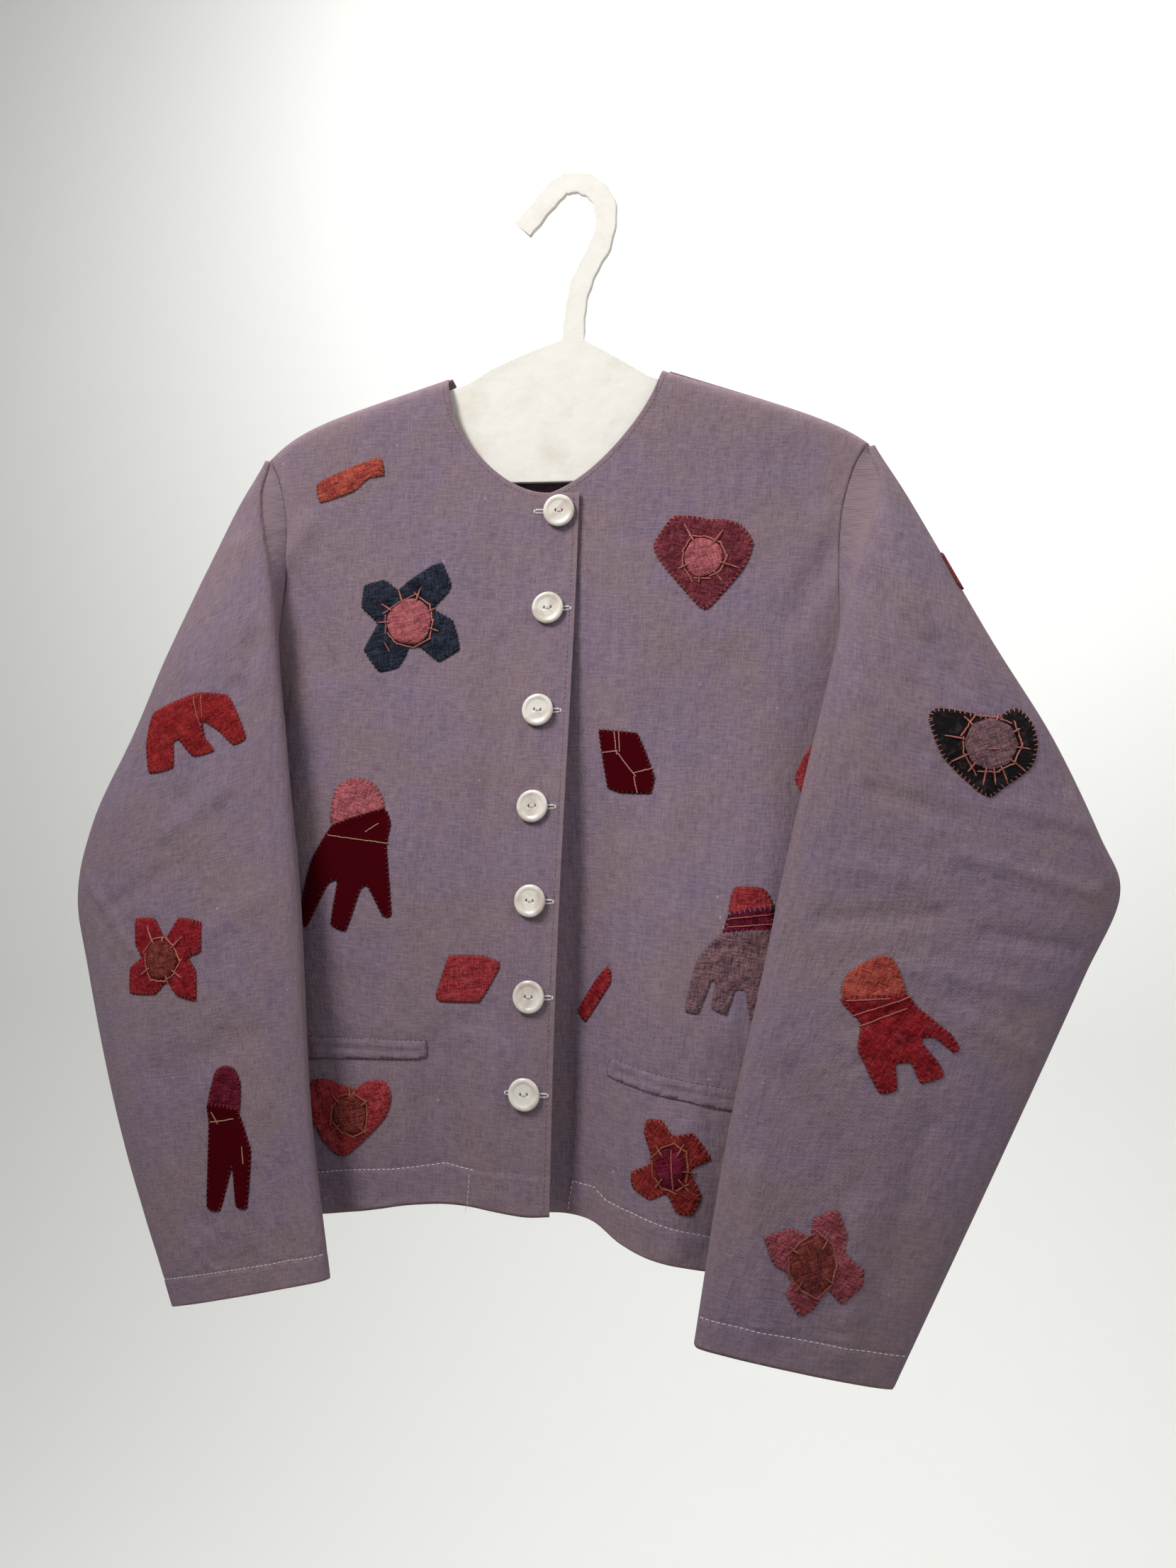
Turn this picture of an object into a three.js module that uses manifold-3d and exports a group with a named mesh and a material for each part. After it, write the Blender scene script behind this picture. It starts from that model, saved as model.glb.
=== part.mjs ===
// A short boxy cotton jacket with hand-sewn patches, buttoned up on a flat cloth-covered hanger.
// Millimetres. +X is to the viewer's right, the front faces -Y, +Z is up. The origin is the point
// inside the hook's crook where a nail or peg carries everything.
import * as THREE from "three";
import Module from "manifold-3d";
import { mergeVertices } from "three/addons/utils/BufferGeometryUtils.js";

// ---------------------------------------------------------------- driving dimensions
const CLOTH = 1.4; // wall of the jacket's cotton
const GAP = 0.3; // clearance between neighbouring pieces
const PATCH = 0.8; // thickness of a sewn-on patch
const CENTRE_X = -5; // the jacket's middle hangs a little left of the crook

const NECK = { x: 74, z: -121.5 }; // where shoulder seam and neckline meet
const TIP = { x: 205, z: -173.5 }; // shoulder tip, top of the armhole
const UNDERARM = { x: 216, z: -405 };
const SHOULDER_Y = -2; // the shoulder seam runs over the middle of the hanger board
const SHOULDER_BOW = { left: 13.5, right: 8 }; // how far the seam is carried up towards the tip
const NECK_DEPTH = 81;
const NECK_MIDDLE = -5;
const NECK_SHIFT = -3; // the fronts sit this far over at the shoulder seam
const BACK_NECK_DEPTH = 20;
const LAP = 18; // the overlapping front reaches this far past the middle
const HEM_SIDE = { x: 222, z: -688 }; // where side seam and hem meet
const FORM = {
  front: { overBoard: -7, swing: -29.5, swingLength: 430 },
  back: { overBoard: 6.6, swing: 5.2, swingLength: 300 },
  side: -12, // depth at which front and back meet along the side seam
};
const SEAM_HALF = 0.55; // front and back walls stand this far either side of the shoulder seam
const ARMHOLE_END = 0.41; // share of the sleeve that hangs above the underarm, as s
const RING_START = THREE.MathUtils.degToRad(25); // inner seam, behind the sleeve's front fold

const BOARD = { thick: 4, tip: 184, bottom: -194, hookWidth: 15 };
const EASE = 0.3; // more clearance where a flat piece lies on curved cloth
const BUTTON = { radius: 10.5, thick: 2.6, rim: 1.6, dish: 0.8, hole: 1.1, holeStep: 1.9 };

const COLOURS = {
  cloth: 0x7d6c7c,
  canvas: 0xe9e4dc,
  pearl: 0xe8e1da,
  navy: 0x2c3442,
  black: 0x1d1a1e,
  red: 0x8a2c2a,
  orange: 0xa2452d,
  maroon: 0x5e1f28,
  darkRed: 0x4f0d14,
  rose: 0x8b4a50,
  pink: 0xa85b5a,
  brown: 0x6b4440,
  mauve: 0x5f4a4c,
  plum: 0x5a1a2c,
};

// ---------------------------------------------------------------- small helpers
const smooth = (t) => THREE.MathUtils.smoothstep(t, 0, 1);
const lerp = THREE.MathUtils.lerp;

// A smooth curve through rows of [parameter, value, value, ...], read at one parameter.
function through(rows, s) {
  const last = rows.length - 1;
  let k = 0;
  while (k < last - 1 && s > rows[k + 1][0]) k += 1;
  const [a, b, c, d] = [rows[Math.max(k - 1, 0)], rows[k], rows[k + 1], rows[Math.min(k + 2, last)]];
  const span = c[0] - b[0];
  const t = (s - b[0]) / span;
  return b.slice(1).map((value, i) => {
    const next = c[i + 1];
    const slopeIn = a === b ? next - value : ((next - a[i + 1]) / (c[0] - a[0])) * span;
    const slopeOut = d === c ? next - value : ((d[i + 1] - value) / (d[0] - b[0])) * span;
    const keep = 2 * t ** 3 - 3 * t ** 2 + 1;
    const ease = t ** 3 - 2 * t ** 2 + t;
    return keep * value + ease * slopeIn + (1 - keep) * next + (t ** 3 - t ** 2) * slopeOut;
  });
}

// ---------------------------------------------------------------- the form the cloth hangs in
const shoulderShare = (x) => (Math.abs(x) - NECK.x) / (TIP.x - NECK.x);
const shoulderBow = (x) => {
  const t = THREE.MathUtils.clamp(shoulderShare(x), 0, 1);
  return SHOULDER_BOW[x < 0 ? "left" : "right"] * t * (1 - t ** 6);
};
const shoulderLine = (x) => lerp(NECK.z, TIP.z, shoulderShare(x)) + shoulderBow(x);
// Armhole and side seam as x over z, the same curve for front and back.
const SIDE_SEAM = [
  [-173.5, 205],
  [-190, 196.5],
  [-218, 190],
  [-245, 189],
  [-285, 191],
  [-325, 196],
  [-368, 205],
  [-405, 216],
  [-500, 218],
  [HEM_SIDE.z, HEM_SIDE.x],
].map(([z, x]) => [-z, x]);
const sideX = (z) => through(SIDE_SEAM, -z)[0];

// Half the width at which front and back would meet: on the side seam, and wider at the armhole.
const sideHalf = (z) => sideX(z) + 50 * (1 - smooth((TIP.z - z) / 231));
const sideY = (z) => SHOULDER_Y + FORM.side * smooth((TIP.z - z) / 240);

// Depth of a body layer: it rounds over the board's edge, swings away below and closes at the sides.
function bodyY(x, z, { overBoard, swing, swingLength }) {
  const below = Math.max(0, shoulderLine(x) - z);
  const rounded = overBoard * (1 - Math.exp(-below / 3.5));
  const middle = SHOULDER_Y + rounded + swing * smooth((-170 - z) / swingLength);
  const q = Math.min(1, Math.abs(x) / sideHalf(z));
  return sideY(z) + (middle - sideY(z)) * Math.sqrt(1 - q ** 4);
}
const backY = (x, z) => {
  const folds = 3.5 * smooth((-260 - z) / 380) * Math.cos(x / 46) * (1 - (x / 235) ** 4);
  return bodyY(x, z, FORM.back) + folds;
};

// The lapping front stands forward at its edge; the front under it dips behind that edge, then
// swings out in one soft upright fold towards the hem.
function frontY(x, z, under) {
  const y = bodyY(x, z, FORM.front);
  if (!under) {
    const stand = 4 * smooth((-250 - z) / 300) * Math.exp(-(((x - 5) / 40) ** 2));
    return y - 1.2 * smooth((x + 40) / 35) - stand;
  }
  const low = smooth((-330 - z) / 340);
  const dip = 9 * low * Math.exp(-(((x - 28) / 24) ** 2));
  const fold = 30 * low * smooth((x - 38) / 55) * (1 - smooth((x - 150) / 75));
  return y + 1.3 * (1 - smooth((x - 20) / 30)) + dip - fold;
}

// ---------------------------------------------------------------- cloth walls
// A closed wall of even thickness round a grid of points: at(u, v) is its middle surface.
function wall(at, us, vs, thick) {
  const points = vs.map((v) => us.map((u) => new THREE.Vector3(...at(u, v))));
  const rows = vs.length;
  const cols = us.length;
  const pick = (i, j) =>
    points[THREE.MathUtils.clamp(i, 0, rows - 1)][THREE.MathUtils.clamp(j, 0, cols - 1)];
  const across = new THREE.Vector3();
  const along = new THREE.Vector3();
  const vertices = [];
  for (const side of [0.5, -0.5]) {
    for (let i = 0; i < rows; i += 1) {
      for (let j = 0; j < cols; j += 1) {
        across.subVectors(pick(i, j + 1), pick(i, j - 1));
        along.subVectors(pick(i + 1, j), pick(i - 1, j));
        const normal = new THREE.Vector3().crossVectors(along, across).normalize();
        vertices.push(...points[i][j].clone().addScaledVector(normal, side * thick));
      }
    }
  }
  const back = rows * cols;
  const id = (i, j) => i * cols + j;
  const faces = [];
  const quad = (a, b, c, d) => faces.push(a, b, c, a, c, d);
  for (let i = 0; i < rows - 1; i += 1) {
    for (let j = 0; j < cols - 1; j += 1) {
      quad(id(i, j), id(i + 1, j), id(i + 1, j + 1), id(i, j + 1));
      quad(back + id(i, j), back + id(i, j + 1), back + id(i + 1, j + 1), back + id(i + 1, j));
    }
  }
  const rim = [];
  for (let j = 0; j < cols - 1; j += 1) rim.push(id(0, j));
  for (let i = 0; i < rows - 1; i += 1) rim.push(id(i, cols - 1));
  for (let j = cols - 1; j > 0; j -= 1) rim.push(id(rows - 1, j));
  for (let i = rows - 1; i > 0; i -= 1) rim.push(id(i, 0));
  rim.forEach((a, k) => {
    const b = rim[(k + 1) % rim.length];
    quad(a, b, back + b, back + a);
  });
  const geometry = new THREE.BufferGeometry();
  geometry.setAttribute("position", new THREE.Float32BufferAttribute(vertices, 3));
  geometry.setIndex(faces);
  geometry.userData.outerFaces = (rows - 1) * (cols - 1) * 2;
  return geometry;
}

// A flat patch of the plane stretched between four border curves that share their corners.
const between = (top, bottom, left, right) => (u, v) =>
  [0, 1].map((k) => {
    const ruled = lerp(top(u)[k], bottom(u)[k], v) + lerp(left(v)[k], right(v)[k], u);
    const corners = lerp(lerp(top(0)[k], top(1)[k], u), lerp(bottom(0)[k], bottom(1)[k], u), v);
    return ruled - corners;
  });

const steps = (count) => Array.from({ length: count + 1 }, (_, k) => k / count);

// ---------------------------------------------------------------- body panels
const BODY_ROWS = [0, 0.008, 0.022, 0.05, 0.09, ...steps(11).map((t) => 0.15 + 0.85 * t)];
const SHOULDER_SHARE = 0.42; // of a front's top edge, as columns
const FRONT_COLUMNS = [0, 0.01, 0.04, 0.1, 0.2, 0.31, SHOULDER_SHARE, 0.52, 0.62, 0.72, 0.82, 0.91, 1];
const BACK_SHOULDER_SHARE = 0.32;
const BACK_HALF = [0, 0.006, 0.024, 0.08, 0.16, 0.24, BACK_SHOULDER_SHARE, 0.38, 0.44];
const BACK_COLUMNS = [...BACK_HALF, 0.5, ...BACK_HALF.toReversed().map((u) => 1 - u)];

// The scooped neckline, a little wider and straighter on the viewer's right.
function neckPoint(side, t) {
  const half = side < 0 ? 72 : 76;
  const roundness = side < 0 ? 1.7 : 1.4;
  const angle = (t * Math.PI) / 2;
  const x = NECK_MIDDLE + side * half * Math.cos(angle) ** (2 / roundness);
  return [x, NECK.z - NECK_DEPTH * Math.sin(angle) ** (2 / roundness)];
}

function frontHem(x, under) {
  const over = [
    [-222, -688],
    [-142, -685],
    [-107, -679],
    [-73, -672.5],
    [-39, -670.5],
    [0, -673],
    [LAP, -671.5],
  ];
  const beneath = [
    [-14, -672],
    [25, -673],
    [47, -675],
    [66, -682],
    [120, -690],
    [180, -692],
    [222, -688],
  ];
  return through(under ? beneath : over, x)[0];
}

function frontPanel(side) {
  const under = side > 0;
  const edge = under ? -14 : LAP; // where the front ends past the middle
  const tip = [side * TIP.x, TIP.z];
  const apex = [side * NECK.x + NECK_SHIFT, NECK.z - 1];
  const top = (u) => {
    if (u < SHOULDER_SHARE) {
      const t = u / SHOULDER_SHARE;
      const x = lerp(tip[0], apex[0], t);
      return [x, lerp(tip[1], apex[1], t) + shoulderBow(x)];
    }
    const t = (u - SHOULDER_SHARE) / (1 - SHOULDER_SHARE);
    const bend = 0.8; // share of the neckline that is scooped; the rest is level to the edge
    if (t < bend) return neckPoint(side, t / bend);
    return [lerp(NECK_MIDDLE, edge, (t - bend) / (1 - bend)), NECK.z - NECK_DEPTH - 2 * (t - bend)];
  };
  const bottom = (u) => {
    const x = lerp(side * HEM_SIDE.x, edge, u);
    return [x, frontHem(x, under)];
  };
  const left = (v) => {
    const z = lerp(TIP.z, HEM_SIDE.z, v);
    return [side * sideX(z), z];
  };
  const right = (v) => [edge, lerp(top(1)[1], bottom(1)[1], v)];
  const flat = between(top, bottom, left, right);
  return (u, v) => {
    const [x, z] = flat(u, v);
    return [x, frontY(x, z, under) - SEAM_HALF, z];
  };
}

function backPanel() {
  const shoulder = BACK_SHOULDER_SHARE;
  const top = (u) => {
    const side = u < 0.5 ? -1 : 1;
    const t = Math.min(u, 1 - u) / shoulder;
    if (t < 1) {
      const x = side * lerp(TIP.x, NECK.x, t);
      return [x, shoulderLine(x)];
    }
    const w = (u - shoulder) / (1 - 2 * shoulder);
    const scoop = Math.sin(w * Math.PI) ** 0.6;
    return [-NECK.x * Math.cos(w * Math.PI), NECK.z - BACK_NECK_DEPTH * scoop];
  };
  const bottom = (u) => [lerp(-HEM_SIDE.x, HEM_SIDE.x, u), HEM_SIDE.z + 4 * Math.sin(u * Math.PI)];
  const border = (side) => (v) => {
    const z = lerp(TIP.z, HEM_SIDE.z, v);
    return [side * sideX(z), z];
  };
  const flat = between(top, bottom, border(-1), border(1));
  return (u, v) => {
    const [x, z] = flat(u, v);
    return [x, backY(x, z) + SEAM_HALF, z];
  };
}

// ---------------------------------------------------------------- sleeves
// Rows of [s, front fold x, y, z, outer edge x, y, z] from the cap (s = 0) to the cuff (s = 1),
// with x counted outwards. The viewer's right sleeve hangs lower and further forward.
const SLEEVE_LINES = {
  "-1": [
    [0.0, 205, -4.6, -176, 207.5, -2, -174.5],
    [0.06, 208, -12, -203, 229, -8, -215],
    [0.19, 190, -27, -274, 274, -11, -312],
    [0.28, 181, -35, -323, 299, -9, -368],
    [0.37, 171, -42, -375, 329, -6, -427],
    [0.47, 162, -48, -429, 342, -4, -480],
    [0.57, 153, -55, -487, 331, -8, -530],
    [0.78, 138, -67, -610, 292, -26, -640],
    [1.0, 117, -80, -713, 240, -45, -752],
  ],
  1: [
    [0.0, 205, -4.6, -176, 207.5, -2, -174.5],
    [0.06, 213, -14, -205, 231, -8, -211],
    [0.19, 196, -32, -278, 284, -11, -302],
    [0.28, 186, -41, -328, 321, -8, -361],
    [0.37, 175, -50, -382, 350, -6, -420],
    [0.47, 164, -57, -440, 363, -4, -456],
    [0.57, 153, -65, -505, 343, -11, -505],
    [0.78, 134, -80, -612, 292, -33, -622],
    [1.0, 120, -95, -726, 234, -50, -755],
  ],
};
const SEAM_LAP = 2.7; // a sleeve's border lies this far outside the panel it is set into
const FOLD_W = RING_START / (2 * Math.PI); // w where the section turns at the front fold
const EDGE_W = FOLD_W + 0.5; // w where it turns at the outer edge

// The flattened ring that a sleeve's section would be without the armhole; w runs once round it.
function freeRing(side, s, w) {
  const [fx, fy, fz, ox, oy, oz] = through(SLEEVE_LINES[side], s);
  const fold = new THREE.Vector3(fx, fy, fz);
  const edge = new THREE.Vector3(ox, oy, oz);
  const angle = 2 * Math.PI * w - RING_START;
  const half = edge.clone().sub(fold).multiplyScalar(0.5);
  const outward = new THREE.Vector3(half.y, -half.x, 0).normalize();
  const full = smooth(s / 0.3);
  const front = (3 + 13 * full) * (1 - 0.35 * smooth((s - 0.6) / 0.4));
  const behind = 2 + 8 * full;
  const rise = Math.sin(angle);
  const bulge = (rise > 0 ? front : -behind) * Math.abs(rise) ** 0.75;
  const point = fold.add(edge).multiplyScalar(0.5);
  return point.addScaledVector(half, -Math.cos(angle)).addScaledVector(outward, bulge);
}

// Where the sleeve's front and back borders lie: on the armhole above the underarm, and joined
// as one inner seam behind the fold below it.
function innerSeam(side, s, y) {
  const share = Math.min(1, s / ARMHOLE_END);
  const z = lerp(TIP.z, UNDERARM.z, share);
  const x = sideX(z);
  const seam = new THREE.Vector3(x + 1.1, y(side * x, z), z);
  const underarm = new THREE.Vector3(UNDERARM.x + 4, sideY(UNDERARM.z) - 7, UNDERARM.z);
  seam.lerp(underarm, smooth((share - 0.8) / 0.2));
  if (s <= ARMHOLE_END) return seam;
  const free = freeRing(side, s, 0);
  const pull = underarm.sub(freeRing(side, ARMHOLE_END, 0));
  return free.addScaledVector(pull, 1 - smooth((s - ARMHOLE_END) / 0.09));
}

function sleevePoint(side, s, w) {
  const point = freeRing(side, s, w);
  const start = freeRing(side, s, 0);
  const front = innerSeam(side, s, (x, z) => frontY(x, z, side > 0) - SEAM_LAP).sub(start);
  const back = innerSeam(side, s, (x, z) => backY(x, z) + SEAM_LAP).sub(start);
  point.addScaledVector(front, 1 - smooth(w / (FOLD_W + 0.005)));
  point.addScaledVector(back, Math.max(0, (w - EDGE_W) / (1 - EDGE_W)) ** 1.5);
  return [side * point.x, point.y, point.z];
}

// The hindarm seam leaves the back armhole, reaches the outer edge at the elbow and runs down
// just in front of it to the cuff.
const HINDARM_TOP = 0.12;
const hindarm = (s) => {
  if (s <= HINDARM_TOP) return 1;
  return lerp(0.96, 0.545, smooth((s - HINDARM_TOP) / 0.45) ** 0.8);
};
const girth = (side, s) => {
  const [fx, , , ox] = through(SLEEVE_LINES[side], s);
  return 2.2 * (ox - fx) + 12;
};
// Half the gap at a seam, as a share of the girth: wider where the hindarm seam runs slanted.
const hindarmHalf = (side, s) => (0.55 + 2.1 * (1 - smooth((s - 0.45) / 0.1))) / girth(side, s);
const borderHalf = (side, s) => 0.55 / girth(side, s);
const CAP_ROWS = [0, 0.02, 0.05, 0.085, HINDARM_TOP, 0.17, 0.22, 0.28, 0.34, ARMHOLE_END];
const ARM_ROWS = [0.435, 0.47, 0.5, 0.54, 0.58, 0.64, 0.7, 0.76, 0.82, 0.88, 0.94, 1];
const SLEEVE_ROWS = [...CAP_ROWS, ...ARM_ROWS];
const SLEEVE_COLUMNS = [0, 0.035, FOLD_W, 0.11, 0.17, 0.25, 0.33, 0.41, 0.48, 0.53];

function topSleeve(side) {
  const last = SLEEVE_COLUMNS.length - 1;
  const extra = 4;
  return (u, s) => {
    const end = hindarm(s) - (s > HINDARM_TOP ? hindarmHalf(side, s) : 0);
    const column = Math.round(u * (last + extra));
    if (column <= last) {
      const w = SLEEVE_COLUMNS[column];
      return sleevePoint(side, s, column === 0 ? borderHalf(side, s) : w);
    }
    const k = column - last;
    const even = lerp(SLEEVE_COLUMNS[last], end, k / extra);
    const turned = [EDGE_W, EDGE_W + 0.04, lerp(EDGE_W + 0.04, end, 0.5), end][k - 1];
    return sleevePoint(side, s, lerp(even, turned, smooth((end - 0.6) / 0.06)));
  };
}

function underSleeve(side) {
  const columns = 7;
  return (u, s) => {
    const start = hindarm(Math.max(s, HINDARM_TOP + 0.001)) + hindarmHalf(side, s);
    const end = 1 - hindarmHalf(side, s);
    const k = Math.round(u * columns);
    const even = lerp(start, end, k / columns);
    if (k === 0 || k === columns) return sleevePoint(side, s, even);
    const turned = k === 1 ? EDGE_W : lerp(EDGE_W, end, (k - 1) / (columns - 1));
    return sleevePoint(side, s, lerp(turned, even, smooth((start - 0.56) / 0.04)));
  };
}

// ---------------------------------------------------------------- what is sewn on
// The frontmost surface of some pieces as y over (x, z).
function skinOf(...geometries) {
  const triangles = [];
  for (const geometry of geometries) {
    const position = geometry.getAttribute("position");
    const index = geometry.index.array;
    for (let k = 0; k < index.length; k += 3) {
      const corners = [0, 1, 2].map((n) => new THREE.Vector3().fromBufferAttribute(position, index[k + n]));
      const box = new THREE.Box3().setFromPoints(corners);
      triangles.push({ corners, box });
    }
  }
  return (x, z) => {
    let best = Infinity;
    for (const { corners: [a, b, c], box } of triangles) {
      if (x < box.min.x || x > box.max.x || z < box.min.z || z > box.max.z) continue;
      const area = (b.x - a.x) * (c.z - a.z) - (c.x - a.x) * (b.z - a.z);
      if (Math.abs(area) < 1e-6) continue;
      const p = ((b.x - x) * (c.z - z) - (c.x - x) * (b.z - z)) / area;
      const q = ((c.x - x) * (a.z - z) - (a.x - x) * (c.z - z)) / area;
      const r = 1 - p - q;
      if (Math.min(p, q, r) < -1e-6) continue;
      best = Math.min(best, p * a.y + q * b.y + r * c.y);
    }
    return best;
  };
}

// Splits every triangle of a flat net into four.
function splitNet({ points, faces }) {
  const made = [...points];
  const middles = new Map();
  const middle = (a, b) => {
    const key = a < b ? `${a}_${b}` : `${b}_${a}`;
    if (!middles.has(key)) {
      middles.set(key, made.length);
      made.push([(points[a][0] + points[b][0]) / 2, (points[a][1] + points[b][1]) / 2]);
    }
    return middles.get(key);
  };
  const smaller = faces.flatMap(([a, b, c]) => {
    const [ab, bc, ca] = [middle(a, b), middle(b, c), middle(c, a)];
    return [[a, ab, ca], [ab, b, bc], [ca, bc, c], [ab, bc, ca]];
  });
  return { points: made, faces: smaller };
}

// A thin closed piece with a given outline, laid on the cloth below it and just clear of it.
function sewnOn(outline, skin, { splits = 0, thick = PATCH } = {}) {
  const flat = new THREE.ShapeGeometry(new THREE.Shape(outline.map(([x, z]) => new THREE.Vector2(x, z))));
  const position = flat.getAttribute("position");
  const points = Array.from({ length: position.count }, (_, k) => [position.getX(k), position.getY(k)]);
  const faces = [];
  for (let k = 0; k < flat.index.count; k += 3) faces.push([0, 1, 2].map((n) => flat.index.getX(k + n)));
  let net = { points, faces };
  for (let k = 0; k < splits; k += 1) net = splitNet(net);
  const depth = net.points.map(([x, z]) => skin(x, z));
  let lift = 0;
  const samples = 12;
  for (const face of net.faces) {
    for (let i = 0; i <= samples; i += 1) {
      for (let j = 0; i + j <= samples; j += 1) {
        const share = [i / samples, j / samples, 1 - (i + j) / samples];
        const mix = (of) => share.reduce((sum, part, n) => sum + part * of(face[n]), 0);
        const there = skin(mix((n) => net.points[n][0]), mix((n) => net.points[n][1]));
        lift = Math.max(lift, mix((n) => depth[n]) - there);
      }
    }
  }
  const count = net.points.length;
  const vertices = [];
  for (const out of [lift + GAP + thick, lift + GAP]) {
    net.points.forEach(([x, z], k) => vertices.push(x, depth[k] - out, z));
  }
  const index = [];
  const sides = new Map();
  for (const [a, b, c] of net.faces) {
    index.push(a, b, c, count + a, count + c, count + b);
    for (const [p, q] of [[a, b], [b, c], [c, a]]) {
      if (!sides.delete(`${q}_${p}`)) sides.set(`${p}_${q}`, [p, q]);
    }
  }
  for (const [p, q] of sides.values()) index.push(q, p, count + p, q, count + p, count + q);
  const geometry = new THREE.BufferGeometry();
  geometry.setAttribute("position", new THREE.Float32BufferAttribute(vertices, 3));
  geometry.setIndex(index);
  return geometry;
}

const disc = (x, z, radius, sides = 10) =>
  Array.from({ length: sides }, (_, k) => {
    const angle = (2 * Math.PI * k) / sides;
    return [x + radius * Math.cos(angle), z + radius * Math.sin(angle)];
  });

// Four petals cut square at their tips, round a middle: each is [direction in degrees, reach].
function flower(x, z, petals, valley, halfWidth) {
  return petals.flatMap(([degrees, reach], k) => {
    const angle = THREE.MathUtils.degToRad(degrees);
    const next = THREE.MathUtils.degToRad(petals[(k + 1) % petals.length][0] + (k === 3 ? 360 : 0));
    const middle = (angle + next) / 2;
    const at = (r, turn) => [x + r * Math.cos(turn), z + r * Math.sin(turn)];
    const spread = Math.atan2(halfWidth, reach * 0.8);
    return [
      at(reach * 0.86, angle - spread),
      at(reach, angle - spread * 0.35),
      at(reach, angle + spread * 0.35),
      at(reach * 0.86, angle + spread),
      at(valley, middle),
    ];
  });
}

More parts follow.
